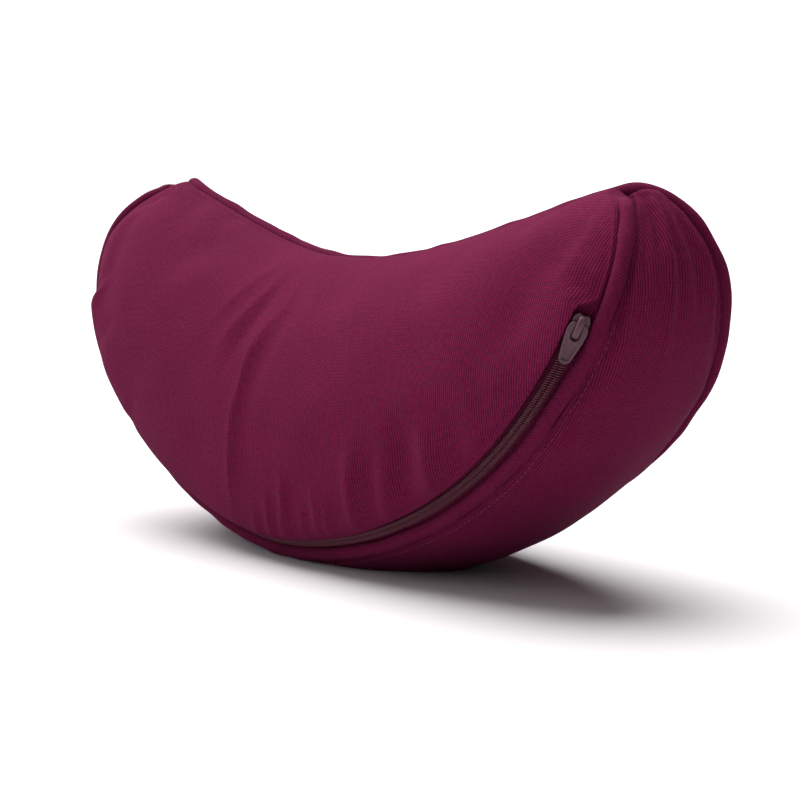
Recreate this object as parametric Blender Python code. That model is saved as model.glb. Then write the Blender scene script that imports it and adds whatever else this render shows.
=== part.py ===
# Crescent meditation cushion, standing on its outer edge.
# Metres, +Z up, origin on the floor below the middle. The zip is on the -Y side.
# X runs from tip to tip, Y through the thickness.
import math

import bpy
import numpy as np

# Driving dimensions of the seams, as seen along Y. The right end is the fuller one.
RIGHT_WIDTH, LEFT_WIDTH = 0.2342, 0.2039            # widest points of the outer seam
RIGHT_SHOULDER_Z, LEFT_SHOULDER_Z = 0.1620, 0.1631  # heights of the widest points
PEAK_X, PEAK_Z = 0.2099, 0.1993     # top of the right end, just outside its tip
PAST_PEAK = math.radians(14.9)      # how far its corner's curve goes on to the tip
LEFT_TIP_X, LEFT_TIP_Z = 0.1680, 0.1966             # tip and top of the left end
SEAM_BOTTOM_Z = 0.0042              # outer seam at its lowest, above the flattened belly
MIDDLE_X, MIDDLE_Y = 0.0145, -0.0037    # middle of the whole cushion, which stands on the origin
RIGHT_BELLY_ROUND, LEFT_BELLY_ROUND = 1.114, 1.094      # 1 is an ellipse, more is slacker
RIGHT_CORNER_ROUND, LEFT_CORNER_ROUND = 1.228, 1.466
NOTCH_DEPTH = 0.0396                # how far the inner seam sags below the left tip
NOTCH_RISE, NOTCH_EASE = 2.187, 2.709

# Gusset, the leaf-shaped strip between the two outer seams
GUSSET_HALF = 0.0492
GUSSET_TIP_HALF = 0.0047
GUSSET_TAPER = 0.1623       # length over which an end widens
GUSSET_TAPER_POWER = 2.58
GUSSET_SWELL = 0.257        # handle length of its curve, as a share of the chord
GUSSET_SWELL_ANGLE = math.radians(59.5)     # under the belly
GUSSET_SWELL_ANGLE_END = math.radians(36.9) # where its slack would end, past the tips
GUSSET_SLACK_REACH = 2.08   # share of the seam over which the angle falls

# Faces, each one curve from the inner seam to an outer seam
FACE_INNER_SWELL, FACE_OUTER_SWELL = 0.419, 0.380
FACE_INNER_ANGLE = math.radians(81.7)
FACE_INNER_ANGLE_TIP = math.radians(46.7)
FACE_OUTER_ANGLE = math.radians(65.4)
FACE_OUTER_ANGLE_TIP = math.radians(27.4)

# Piping and zip
PIPING_RADIUS = 0.0038
FIT_GAP = 0.0006            # between a round piping and its facetted groove
GROOVE_HALF_ANGLE = math.radians(75)
SEAM_LEAN = math.radians(45)     # the outer pipings point halfway between -Y and outwards
CHANNEL_WIDTH = 0.0090
CHANNEL_CLOSED = 0.0006
CHANNEL_DEPTH = 0.0024      # floor of the channel below the middle of the piping
LIP_HEIGHT = 0.0026         # edge of the face above the middle of the piping
ZIP_START = 0.072           # from the right tip along the seam to the slider's top
ZIP_END = 0.095             # from the left tip to the zip's end
ZIP_EASE = 0.030            # length over which the channel opens
TAPE_WIDTH, TAPE_THICK = 0.0082, 0.0008
TAPE_LIFT = 0.0003
CHAIN_WIDTH, CHAIN_THICK = 0.0058, 0.0018
PIECE_GAP = 0.0003
SLIDER_LENGTH, SLIDER_WIDTH, SLIDER_THICK = 0.0125, 0.0083, 0.0030
SLIDER_CHAMFER = 0.0006
CROWN_LENGTH, CROWN_WIDTH, CROWN_RISE, CROWN_THICK = 0.0110, 0.0032, 0.0042, 0.0014
CROWN_SINK, CROWN_STEPS = 0.0008, 8
PULLER_LENGTH, PULLER_WIDE, PULLER_NARROW, PULLER_THICK = 0.0195, 0.0096, 0.0056, 0.0018
PULLER_SLOT_WIDTH, PULLER_SLOT_LENGTH = 0.0044, 0.0084
FORK_CHAMFER, TAIL_CHAMFER = 0.0008, 0.0012
FORK_PAST_MIDDLE = 0.0020   # tips of the fork, up the seam from the slider's middle

# Mesh sizes
STATIONS = 80
STATION_EASE = 0.3
FACE_POINTS = 8
GUSSET_POINTS = 7
GROOVE_POINTS = 5
PIPING_SIDES = 7
BODY_END = 0.966            # share of the seam that the body covers, short of the tips
TIP_POCKET = 0.013          # hollow under the place where the pipings meet

# Broad folds and puckers of the near face, raised in its points:
# where along the seam (-1 left tip, 1 right tip), where across (0 inner seam, 1 outer seam),
# half sizes along and across, how far the fold drifts along as it goes across, height
FOLDS = (
    # along, across, half_along, half_across, slant, height
    (-0.16, 0.62, 0.050, 0.34, -0.10, -0.0030),
    (-0.08, 0.60, 0.040, 0.32, -0.12, 0.0016),
    (-0.01, 0.84, 0.020, 0.14, 0.02, -0.0016),
    (0.05, 0.84, 0.020, 0.14, 0.02, 0.0014),
    (0.12, 0.82, 0.022, 0.15, 0.03, -0.0018),
    (0.19, 0.82, 0.022, 0.15, 0.04, 0.0014),
    (0.27, 0.80, 0.026, 0.17, 0.05, -0.0020),
    (0.52, 0.78, 0.045, 0.16, 0.06, -0.0022),
)
# Lengthwise pleats of the gusset by the right tip: across from near seam (-1) to far seam (1)
PLEATS = (
    # along, across, half_along, half_across, height
    (0.84, -0.45, 0.11, 0.16, -0.0016),
    (0.82, 0.05, 0.12, 0.16, -0.0018),
    (0.84, 0.50, 0.10, 0.14, -0.0014),
)

Y_AXIS = np.array((0.0, 1.0, 0.0))
Z_AXIS = np.array((0.0, 0.0, 1.0))


def clear_scene():
    for old in list(bpy.data.objects):
        bpy.data.objects.remove(old, do_unlink=True)


def make_material(name, color, roughness, metallic=0.0):
    material = bpy.data.materials.new(name)
    material.use_nodes = True
    shader = material.node_tree.nodes["Principled BSDF"]
    shader.inputs["Base Color"].default_value = (*color, 1.0)
    shader.inputs["Roughness"].default_value = roughness
    shader.inputs["Metallic"].default_value = metallic
    return material


def add_mesh(name, points, faces, material, smooth=True):
    mesh = bpy.data.meshes.new(name)
    mesh.from_pydata([(p[0] - MIDDLE_X, p[1] - MIDDLE_Y, p[2]) for p in points], [], faces)
    mesh.materials.append(material)
    if smooth:
        mesh.shade_smooth()
    mesh.update()
    piece = bpy.data.objects.new(name, mesh)
    bpy.context.scene.collection.objects.link(piece)
    return piece


def unit(vector):
    return vector / np.linalg.norm(vector)


# Seams
def outer_profile(width, shoulder_z, belly_round, corner, past=0.0):
    """One half of the outer seam in X and Z, from the bottom middle to its tip.

    corner is the top's place and its roundness; the curve goes on past the top.
    """
    top_x, top_z, corner_round = corner
    low = np.linspace(0.0, math.pi / 2, 240)
    x_low = width * np.sin(low) ** belly_round
    drop = np.clip(np.cos(low), 0, 1) ** belly_round
    z_low = shoulder_z - (shoulder_z - SEAM_BOTTOM_Z) * drop
    high = np.linspace(0.0, math.pi / 2 + past, 160)[1:]
    reach = np.sign(np.cos(high)) * np.abs(np.cos(high)) ** corner_round
    x_high = top_x + (width - top_x) * reach
    z_high = shoulder_z + (top_z - shoulder_z) * np.sin(high) ** corner_round
    x, z = np.concatenate((x_low, x_high)), np.concatenate((z_low, z_high))
    length = np.concatenate(((0.0,), np.cumsum(np.hypot(np.diff(x), np.diff(z)))))
    return x, z, length


RIGHT_HALF = outer_profile(RIGHT_WIDTH, RIGHT_SHOULDER_Z, RIGHT_BELLY_ROUND,
                           (PEAK_X, PEAK_Z, RIGHT_CORNER_ROUND), PAST_PEAK)
LEFT_HALF = outer_profile(LEFT_WIDTH, LEFT_SHOULDER_Z, LEFT_BELLY_ROUND,
                          (LEFT_TIP_X, LEFT_TIP_Z, LEFT_CORNER_ROUND))
RIGHT_SEAM, LEFT_SEAM = RIGHT_HALF[2][-1], LEFT_HALF[2][-1]


def half_of(along):
    return RIGHT_HALF if along > 0 else LEFT_HALF


def gusset_half(along):
    """Half width of the gusset; along runs from -1 at the left tip to 1 at the right one."""
    from_tip = (1.0 - abs(along)) * half_of(along)[2][-1]
    fill = 1.0 - (1.0 - min(from_tip / GUSSET_TAPER, 1.0)) ** GUSSET_TAPER_POWER
    return GUSSET_TIP_HALF + (GUSSET_HALF - GUSSET_TIP_HALF) * fill


def outer_seam(along, side):
    """Middle of an outer piping; side is -1 for the near seam and 1 for the far one."""
    x, z, length = half_of(along)
    s = abs(along) * length[-1]
    turned = 1.0 if along > 0 else -1.0
    return np.array((turned * np.interp(s, length, x), side * gusset_half(along),
                     np.interp(s, length, z)))


def inner_seam(along):
    """Middle of the inner piping, which swings to the far side where it meets the tip."""
    u = abs(along)
    tip_x, tip_z = half_of(along)[0][-1], half_of(along)[1][-1]
    sag = NOTCH_RISE * u ** 2 - (NOTCH_RISE - 1.0) * u ** NOTCH_EASE
    bottom_z = LEFT_TIP_Z - NOTCH_DEPTH
    swing = GUSSET_TIP_HALF * smooth_step((u - 0.90) / 0.10)
    return np.array((tip_x * along, swing, bottom_z + (tip_z - bottom_z) * sag))


def smooth_step(t):
    t = min(max(t, 0.0), 1.0)
    return t * t * (3.0 - 2.0 * t)


def tangent(curve, along, step=0.004):
    a, b = max(along - step, -1.0), min(along + step, 1.0)
    return unit(curve(b) - curve(a))


def seam_frame(along, side):
    """Piping middle, its way out of the cushion and its way across towards the face."""
    middle = outer_seam(along, side)
    way = tangent(lambda t: outer_seam(t, side), along)
    outward = unit(np.array((way[2], 0.0, -way[0])))
    face_side = side * Y_AXIS
    out = face_side * math.cos(SEAM_LEAN) + outward * math.sin(SEAM_LEAN)
    out = unit(out - way * out.dot(way))
    across = np.cross(way, out)
    if across.dot(face_side) < 0:
        across = -across
    return middle, out, across, outward


def inner_frame(along):
    middle = inner_seam(along)
    way = tangent(inner_seam, along)
    out = np.array((-way[2], 0.0, way[0]))
    out = unit(out - way * out.dot(way))
    across = np.cross(out, way)
    if across[1] > 0:
        across = -across
    return middle, out, across


def channel_open(along):
    """0 where the seam is closed, 1 where the zip lies in it."""
    from_right = (1.0 - along) * RIGHT_SEAM
    from_left = (1.0 + along) * LEFT_SEAM
    right = smooth_step((from_right - ZIP_START + ZIP_EASE) / ZIP_EASE)
    left = smooth_step((from_left - ZIP_END + ZIP_EASE) / ZIP_EASE)
    return right * left


# Cushion body, one loop of points for each station
def groove(middle, out, across, first, last, count=GROOVE_POINTS):
    """Concave arc round a piping; angles run from straight in, positive towards across."""
    radius = PIPING_RADIUS + FIT_GAP
    return [
        middle + radius * (math.sin(a) * across - math.cos(a) * out)
        for a in np.linspace(first, last, count)
    ]


def bezier(a, handle_a, handle_b, b, count):
    """Points inside a cubic curve, closer together at its ends."""
    points = []
    for i in range(1, count + 1):
        t = (1.0 - math.cos(math.pi * i / (count + 1))) / 2.0
        t = 0.5 * t + 0.5 * i / (count + 1)
        s = 1.0 - t
        points.append(s ** 3 * a + 3 * s * s * t * handle_a + 3 * s * t * t * handle_b + t ** 3 * b)
    return points


def face_curve(inner, outer, side, along):
    chord = outer - inner
    length = np.linalg.norm(chord)
    way = chord / length
    swell = side * Y_AXIS
    swell = unit(swell - way * swell.dot(way))
    inner_angle = FACE_INNER_ANGLE + (FACE_INNER_ANGLE_TIP - FACE_INNER_ANGLE) * abs(along)
    handle_a = inner + length * FACE_INNER_SWELL * (
        math.cos(inner_angle) * way + math.sin(inner_angle) * swell)
    outer_angle = FACE_OUTER_ANGLE + (FACE_OUTER_ANGLE_TIP - FACE_OUTER_ANGLE) * along ** 2
    handle_b = outer + length * FACE_OUTER_SWELL * (
        math.sin(outer_angle) * swell - math.cos(outer_angle) * way)
    points = bezier(inner, handle_a, handle_b, outer, FACE_POINTS)
    if side > 0:
        return points
    return [p + swell * fold_height(along, (i + 1) / (FACE_POINTS + 1)) for i, p in enumerate(points)]


def fold_height(along, across):
    height = 0.0
    for fold_along, fold_across, half_along, half_across, slant, rise in FOLDS:
        middle = fold_along + slant * (across - fold_across)
        a = (along - middle) / half_along
        b = (across - fold_across) / half_across
        height += rise * math.exp(-a * a - b ** 4)
    return height


def pleat_height(along, across):
    height = 0.0
    for pleat_along, pleat_across, half_along, half_across, rise in PLEATS:
        a = (along - pleat_along) / half_along
        b = (across - pleat_across) / half_across
        height += rise * math.exp(-a * a - b * b)
    return height


def gusset_curve(near, far, outward, along):
    chord = far - near
    length = np.linalg.norm(chord)
    way = chord / length
    out = unit(outward - way * outward.dot(way))
    slack = 1.0 - smooth_step(abs(along) / GUSSET_SLACK_REACH)
    angle = GUSSET_SWELL_ANGLE_END + (GUSSET_SWELL_ANGLE - GUSSET_SWELL_ANGLE_END) * slack
    lift = math.sin(angle) * out
    run = math.cos(angle) * way
    handle_a = near + length * GUSSET_SWELL * (lift + run)
    handle_b = far + length * GUSSET_SWELL * (lift - run)
    points = bezier(near, handle_a, handle_b, far, GUSSET_POINTS)
    shares = [2.0 * (i + 1) / (GUSSET_POINTS + 1) - 1.0 for i in range(GUSSET_POINTS)]
    return [p + out * pleat_height(along, share) for p, share in zip(points, shares)]


def body_loop(along):
    inner, inner_out, inner_across = inner_frame(along)
    near, near_out, near_across, outward = seam_frame(along, -1)
    far, far_out, far_across, _ = seam_frame(along, 1)
    wide = GROOVE_HALF_ANGLE

    inner_arc = groove(inner, inner_out, inner_across, -wide, wide)
    near_arc = groove(near, near_out, near_across, wide * 0.8, -wide)
    far_arc = groove(far, far_out, far_across, -wide, wide)

    # The channel of the zip starts beside the piping and ends at the lip of the face
    share = channel_open(along)
    opening = CHANNEL_CLOSED + (CHANNEL_WIDTH - CHANNEL_CLOSED) * share
    start = PIPING_RADIUS + FIT_GAP
    floor_a = near + start * near_across - CHANNEL_DEPTH * share * near_out
    floor_b = floor_a + opening * near_across
    lip = floor_b + (LIP_HEIGHT + CHANNEL_DEPTH) * share * near_out
    lip = lip + CHANNEL_CLOSED * near_across + CHANNEL_CLOSED * near_out

    loop = list(inner_arc)
    loop += face_curve(inner_arc[-1], lip, -1, along)
    loop += [lip, floor_b, floor_a]
    loop += near_arc
    loop += gusset_curve(near_arc[-1], far_arc[0], outward, along)
    loop += far_arc
    loop += reversed(face_curve(inner_arc[0], far_arc[-1], 1, along))
    return loop


def body_stations():
    x = np.linspace(-1.0, 1.0, STATIONS)
    return BODY_END * ((1.0 - STATION_EASE) * x + STATION_EASE * np.sin(x * math.pi / 2))


def piping_stations():
    """The body's stations, so that the facets match, and the tips."""
    return [-1.0, *body_stations(), 1.0]


def skin(loops, ring=False, end_sink=0.0):
    """Faces between equal loops of points; a ring joins the last loop to the first.

    An open row of loops gets a fan at each end, its middle sunk below the end's plane.
    """
    size = len(loops[0])
    count = len(loops)
    faces = []
    for i in range(count if ring else count - 1):
        a, b = i * size, ((i + 1) % count) * size
        for j in range(size):
            k = (j + 1) % size
            faces.append((a + j, a + k, b + k, b + j))
    points = [p for loop in loops for p in loop]
    if not ring:
        for loop, start, flip in ((loops[0], 0, True), (loops[-1], (count - 1) * size, False)):
            points.append(sum(loop) / size - end_sink * Z_AXIS)
            middle = len(points) - 1
            for j in range(size):
                k = (j + 1) % size
                face = (start + j, start + k, middle)
                faces.append(face[::-1] if flip else face)
    return points, faces


def outward_faces(points, faces):
    """Turn every face round if the closed shape is inside out."""
    volume = 0.0
    for face in faces:
        a = points[face[0]]
        for i in range(1, len(face) - 1):
            volume += a.dot(np.cross(points[face[i]], points[face[i + 1]]))
    return faces if volume > 0 else [face[::-1] for face in faces]


def build_body(material):
    loops = [body_loop(along) for along in body_stations()]
    points, faces = skin(loops, end_sink=TIP_POCKET)
    points = [np.array((p[0], p[1], max(p[2], 0.0))) for p in points]
    return add_mesh("cushion_body", points, outward_faces(points, faces), material)


# Piping
def piping_ring(middle, out, across):
    return [
        middle + PIPING_RADIUS * (math.sin(a) * across - math.cos(a) * out)
        for a in np.linspace(0.0, 2 * math.pi, PIPING_SIDES, endpoint=False)
    ]


def build_pipings(material):
    front = [piping_ring(*seam_frame(along, -1)[:3]) for along in piping_stations()]
    points, faces = skin(front)
    add_mesh("piping_front", points, outward_faces(points, faces), material)

    places = piping_stations()
    middles = [outer_seam(along, 1) for along in places]
    middles += [inner_seam(along) for along in places[::-1][1:-1]]
    rings = []
    count = len(middles)
    spin = None
    for i, middle in enumerate(middles):
        way = unit(middles[(i + 1) % count] - middles[i - 1])
        spin = Y_AXIS if spin is None else spin
        spin = unit(spin - way * spin.dot(way))
        rings.append(piping_ring(middle, spin, np.cross(way, spin)))
    points, faces = skin(rings, ring=True)
    add_mesh("piping_rim", points, outward_faces(points, faces), material)


# Zip
def zip_frame(along):
    """Middle of the channel's floor, its way out, across and along the seam."""
    near, out, across, _ = seam_frame(along, -1)
    start = PIPING_RADIUS + FIT_GAP + CHANNEL_WIDTH / 2
    floor = near + start * across - CHANNEL_DEPTH * out
    return floor, out, across, np.cross(across, out)


def strip(first, last, count, width, low, high):
    loops = []
    for along in np.linspace(first, last, count):
        floor, out, across, _ = zip_frame(along)
        half = width / 2
        loops.append([
            floor + half * across + low * out,
            floor + half * across + high * out,
            floor - half * across + high * out,
            floor - half * across + low * out,
        ])
    points, faces = skin(loops)
    return points, outward_faces(points, faces)


def along_from_right(length):
    return 1.0 - length / RIGHT_SEAM


def build_zip(tape, coil, metal):
    first = -1.0 + (ZIP_END + 0.004) / LEFT_SEAM
    top = along_from_right(ZIP_START)
    below_slider = along_from_right(ZIP_START + SLIDER_LENGTH + PIECE_GAP)
    points, faces = strip(first, top, 70, TAPE_WIDTH, TAPE_LIFT, TAPE_LIFT + TAPE_THICK)
    add_mesh("zip_tape", points, faces, tape)
    low = TAPE_LIFT + TAPE_THICK + PIECE_GAP
    points, faces = strip(first, below_slider, 70, CHAIN_WIDTH, low, low + CHAIN_THICK)
    add_mesh("zip_chain", points, faces, coil)
    build_slider(low, metal)
    build_puller(low, metal)


def place(local, frame):
    """A point given along, across and out of the zip, in the world."""
    origin, out, across, way = frame
    return origin + local[0] * way + local[1] * across + local[2] * out


def slider_frame():
    """Middle of the slider; way points up the seam to the right tip."""
    along = along_from_right(ZIP_START + SLIDER_LENGTH / 2)
    origin, out, across, way = zip_frame(along)
    uphill = outer_seam(along + 0.01, -1) - outer_seam(along - 0.01, -1)
    if way.dot(uphill) < 0:
        way = -way
    return origin, out, across, way


def loft_local(name, loops, frame, material):
    points, faces = skin([[place(np.array(p), frame) for p in loop] for loop in loops])
    return add_mesh(name, points, outward_faces(points, faces), material)


def rounded_box_loop(x, half_width, low, high, chamfer):
    return [
        (x, -half_width, low + chamfer), (x, -half_width, high - chamfer),
        (x, -half_width + chamfer, high), (x, half_width - chamfer, high),
        (x, half_width, high - chamfer), (x, half_width, low + chamfer),
        (x, half_width - chamfer, low), (x, -half_width + chamfer, low),
    ]


def build_slider(low, metal):
    """Slider body with a crown, the bridge that the puller's fork holds."""
    frame = slider_frame()
    half = SLIDER_LENGTH / 2
    high = low + SLIDER_THICK
    shoulders = ((-half, 0.66), (-half + 0.002, 0.80), (0.0, 1.0), (half - 0.003, 1.0), (half, 0.72))
    loops = [
        rounded_box_loop(x, SLIDER_WIDTH / 2 * share, low, high, SLIDER_CHAMFER)
        for x, share in shoulders
    ]
    body = loft_local("zip_slider", loops, frame, metal)

    arch = []
    for i in range(CROWN_STEPS + 1):
        a = math.pi * i / CROWN_STEPS
        x = -math.cos(a) * (CROWN_LENGTH - CROWN_THICK) / 2
        z = high - CROWN_SINK + max(math.sin(a), 0.0) ** 0.7 * (CROWN_RISE - CROWN_THICK / 2)
        arch.append((x, z))
    crown_loops = []
    for i, (x, z) in enumerate(arch):
        before, after = arch[max(i - 1, 0)], arch[min(i + 1, CROWN_STEPS)]
        run, rise = after[0] - before[0], after[1] - before[1]
        size = math.hypot(run, rise)
        nx, nz = -rise / size * CROWN_THICK / 2, run / size * CROWN_THICK / 2
        w = CROWN_WIDTH / 2
        crown_loops.append([
            (x - nx, -w, z - nz), (x + nx, -w, z + nz), (x + nx, w, z + nz), (x - nx, w, z - nz),
        ])
    crown = loft_local("crown", crown_loops, frame, metal)
    join = body.modifiers.new("crown", "BOOLEAN")
    join.operation = "UNION"
    join.object = crown
    crown.hide_render = True
    crown.display_type = "WIRE"


def build_puller(low, metal):
    """Forked plate whose slot stands round the foot of the crown, lying down the zip."""
    frame = slider_frame()
    base = low + SLIDER_THICK + PIECE_GAP
    wide, narrow, thick = PULLER_WIDE / 2, PULLER_NARROW / 2, PULLER_THICK
    slot, depth = PULLER_SLOT_WIDTH / 2, PULLER_SLOT_LENGTH
    fork = FORK_PAST_MIDDLE
    tail = fork - PULLER_LENGTH
    one_side = [
        (fork, slot), (fork, wide - FORK_CHAMFER), (fork - FORK_CHAMFER, wide), (fork - depth, wide),
        (tail + TAIL_CHAMFER, narrow), (tail, narrow - TAIL_CHAMFER),
    ]
    outline = one_side + [(x, -y) for x, y in reversed(one_side)]
    for i in range(7):
        a = -math.pi / 2 - math.pi * i / 6
        outline.append((fork - depth + slot + slot * math.cos(a), slot * math.sin(a)))
    points = [place(np.array((x, y, base)), frame) for x, y in outline]
    points += [place(np.array((x, y, base + thick)), frame) for x, y in outline]
    size = len(outline)
    faces = [tuple(range(size))[::-1], tuple(range(size, 2 * size))]
    faces += [(i, (i + 1) % size, size + (i + 1) % size, size + i) for i in range(size)]
    add_mesh("zip_puller", points, outward_faces(points, faces), metal, smooth=False)


def main():
    clear_scene()
    canvas = make_material("canvas", (0.215, 0.022, 0.078), 0.9)
    piping = make_material("piping", (0.190, 0.019, 0.068), 0.9)
    tape = make_material("zip_tape", (0.050, 0.012, 0.016), 0.85)
    coil = make_material("zip_coil", (0.062, 0.016, 0.020), 0.45)
    metal = make_material("puller_metal", (0.120, 0.050, 0.072), 0.42, 0.3)
    build_body(canvas)
    build_pipings(piping)
    build_zip(tape, coil, metal)


main()
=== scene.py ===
# %% [markdown]
# # A crescent meditation cushion
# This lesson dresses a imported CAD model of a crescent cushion. It stands on its outer
# edge with both tips up. Two crescent faces and a leaf-shaped gusset are sewn together
# with piping in three seams, and a coil zip lies in the near outer seam.
# Everything is in metres, in the CAD's own frame: X runs from tip to tip, -Y is the
# side with the zip, and the cushion stands on Z = 0.

import math

import bmesh
import bpy
import numpy as np
from mathutils import Matrix, Vector


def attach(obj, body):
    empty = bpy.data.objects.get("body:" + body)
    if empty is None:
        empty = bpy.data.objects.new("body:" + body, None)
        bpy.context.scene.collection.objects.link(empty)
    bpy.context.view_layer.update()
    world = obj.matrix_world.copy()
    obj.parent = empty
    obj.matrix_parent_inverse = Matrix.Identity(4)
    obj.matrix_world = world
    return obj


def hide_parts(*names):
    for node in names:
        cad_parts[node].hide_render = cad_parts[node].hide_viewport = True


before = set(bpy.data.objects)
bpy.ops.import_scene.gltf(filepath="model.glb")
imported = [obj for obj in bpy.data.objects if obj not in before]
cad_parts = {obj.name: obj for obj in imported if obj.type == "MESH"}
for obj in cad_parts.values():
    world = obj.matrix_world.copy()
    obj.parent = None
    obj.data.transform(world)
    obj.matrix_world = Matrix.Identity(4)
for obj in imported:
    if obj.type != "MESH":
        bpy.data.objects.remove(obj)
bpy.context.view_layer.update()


def in_mm(values):
    return [round(1000 * value, 1) for value in values]


print("CAD nodes:", ", ".join(sorted(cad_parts)))


def add_object(name, data):
    made = bpy.data.objects.new(name, data)
    bpy.context.scene.collection.objects.link(made)
    return made


# %% [markdown]
# ## The camera
# The picture is square. The camera stands low, to the right of the zip side, and looks
# slightly down with a long lens, so the near tip is only a little larger than the far
# one. Its three directions are worked out from the angles and put in one matrix, with
# no lens shift, so that other views stay centred.

# %% Camera
CAMERA_AROUND = math.radians(51.362)
CAMERA_UP = math.radians(6.898)
CAMERA_ROLL = math.radians(-0.329)
CAMERA_DISTANCE = 1.18342
CAMERA_LENS = 97.257
CAMERA_AIM = Vector((-0.00638, 0.02543, 0.07981))


def make_camera():
    back = Vector((
        math.sin(CAMERA_AROUND) * math.cos(CAMERA_UP),
        -math.cos(CAMERA_AROUND) * math.cos(CAMERA_UP),
        math.sin(CAMERA_UP),
    ))
    right = Vector((math.cos(CAMERA_AROUND), math.sin(CAMERA_AROUND), 0.0))
    up = back.cross(right)
    rolled_right = right * math.cos(CAMERA_ROLL) + up * math.sin(CAMERA_ROLL)
    rolled_up = up * math.cos(CAMERA_ROLL) - right * math.sin(CAMERA_ROLL)
    turn = Matrix((rolled_right, rolled_up, back)).transposed().to_4x4()
    data = bpy.data.cameras.new("camera")
    data.lens = CAMERA_LENS
    data.clip_start = 0.01
    camera = add_object("camera", data)
    camera.matrix_world = Matrix.Translation(CAMERA_AIM + back * CAMERA_DISTANCE) @ turn
    bpy.context.scene.camera = camera
    return camera


camera = make_camera()
print("Camera at", [round(v, 3) for v in camera.matrix_world.translation])

# %% [markdown]
# ## Floor and light
# The cushion is lit as in a studio: a very large soft light on the left, which shapes
# the near face and leaves the gusset dark, and a soft light overhead and a little
# behind, which puts one shadow under the cushion. Sun lamps with a wide angle give the
# same strength over the whole floor, so that it stays an even white. The room looks
# white to the camera but gives only a little light, or else the dark side of the
# cushion would lose its shape.

# %% Lights
KEY_TOWARDS = Vector((-0.66, -0.66, 0.40))      # from the cushion to the light
KEY_STRENGTH, KEY_ANGLE = 1.9, math.radians(90)
TOP_TOWARDS = Vector((-0.36, 0.08, 0.93))
TOP_STRENGTH, TOP_ANGLE = 6.4, math.radians(70)
ROOM_COLOUR, ROOM_STRENGTH = (1.0, 0.985, 0.985, 1.0), 0.10
SEEN_COLOUR, SEEN_STRENGTH = (1.0, 1.0, 1.0, 1.0), 1.05     # what the camera sees behind the floor


def add_sun(name, towards, strength, angle):
    data = bpy.data.lights.new(name, "SUN")
    data.energy = strength
    data.angle = angle
    add_object(name, data).matrix_world = towards.to_track_quat("Z", "Y").to_matrix().to_4x4()


def make_room():
    world = bpy.data.worlds.new("room")
    world.use_nodes = True
    nodes, links = world.node_tree.nodes, world.node_tree.links
    nodes.clear()
    mix = nodes.new("ShaderNodeMixShader")
    looks = ((1, ROOM_COLOUR, ROOM_STRENGTH), (2, SEEN_COLOUR, SEEN_STRENGTH))
    for slot, colour, strength in looks:
        look = nodes.new("ShaderNodeBackground")
        look.inputs["Color"].default_value = colour
        look.inputs["Strength"].default_value = strength
        links.new(look.outputs[0], mix.inputs[slot])
    path = nodes.new("ShaderNodeLightPath")
    out = nodes.new("ShaderNodeOutputWorld")
    links.new(path.outputs["Is Camera Ray"], mix.inputs["Fac"])
    links.new(mix.outputs[0], out.inputs["Surface"])
    bpy.context.scene.world = world


add_sun("key", KEY_TOWARDS, KEY_STRENGTH, KEY_ANGLE)
add_sun("top", TOP_TOWARDS, TOP_STRENGTH, TOP_ANGLE)
make_room()
bpy.context.scene.view_settings.view_transform = "Standard"
bpy.context.scene.view_settings.look = "None"
print("Light comes from", [round(v, 2) for v in KEY_TOWARDS.normalized()])

# %% [markdown]
# ## Node helpers
# A cloth pattern is arithmetic on two coordinates. Each of these helpers adds one node
# and wires it up, so that the recipes below read like formulas.

# %% Node helpers


def wire(tree, socket, value):
    """Link a socket, or set its own value where a number is given."""
    if isinstance(value, bpy.types.NodeSocket):
        tree.links.new(value, socket)
    else:
        socket.default_value = value


def maths(tree, operation, a, b=0.0, c=0.0):
    node = tree.nodes.new("ShaderNodeMath")
    node.operation = operation
    for socket, value in zip(node.inputs, (a, b, c)):
        wire(tree, socket, value)
    return node.outputs[0]


def noise(tree, vector, scale, detail=2.0, roughness=0.5):
    node = tree.nodes.new("ShaderNodeTexNoise")
    node.inputs["Scale"].default_value = scale
    node.inputs["Detail"].default_value = detail
    node.inputs["Roughness"].default_value = roughness
    tree.links.new(vector, node.inputs["Vector"])
    return node.outputs["Fac"]


def mix_colour(tree, share, a, b, blend="MIX"):
    node = tree.nodes.new("ShaderNodeMix")
    node.data_type = "RGBA"
    node.blend_type = blend
    wire(tree, node.inputs[0], share)
    wire(tree, node.inputs[6], a)
    wire(tree, node.inputs[7], b)
    return node.outputs[2]


def rescale(tree, value, from_low, from_high, to_low, to_high):
    node = tree.nodes.new("ShaderNodeMapRange")
    node.inputs["From Min"].default_value = from_low
    node.inputs["From Max"].default_value = from_high
    node.inputs["To Min"].default_value = to_low
    node.inputs["To Max"].default_value = to_high
    wire(tree, node.inputs["Value"], value)
    return node.outputs["Result"]


def add_bump(tree, shader, height, distance):
    bump = tree.nodes.new("ShaderNodeBump")
    bump.inputs["Distance"].default_value = distance
    tree.links.new(height, bump.inputs["Height"])
    tree.links.new(bump.outputs["Normal"], shader.inputs["Normal"])


def start_material(name, roughness):
    material = bpy.data.materials.new(name)
    material.use_nodes = True
    tree = material.node_tree
    shader = tree.nodes["Principled BSDF"]
    shader.inputs["Roughness"].default_value = roughness
    return material, tree, shader


def object_place(tree):
    return tree.nodes.new("ShaderNodeTexCoord").outputs["Object"]


# %% Floor
FLOOR_SIZE = 14.0
FLOOR_COLOUR, FLOOR_GRAIN = (0.66, 0.64, 0.655, 1.0), 0.985     # grain: its darker shade


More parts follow.
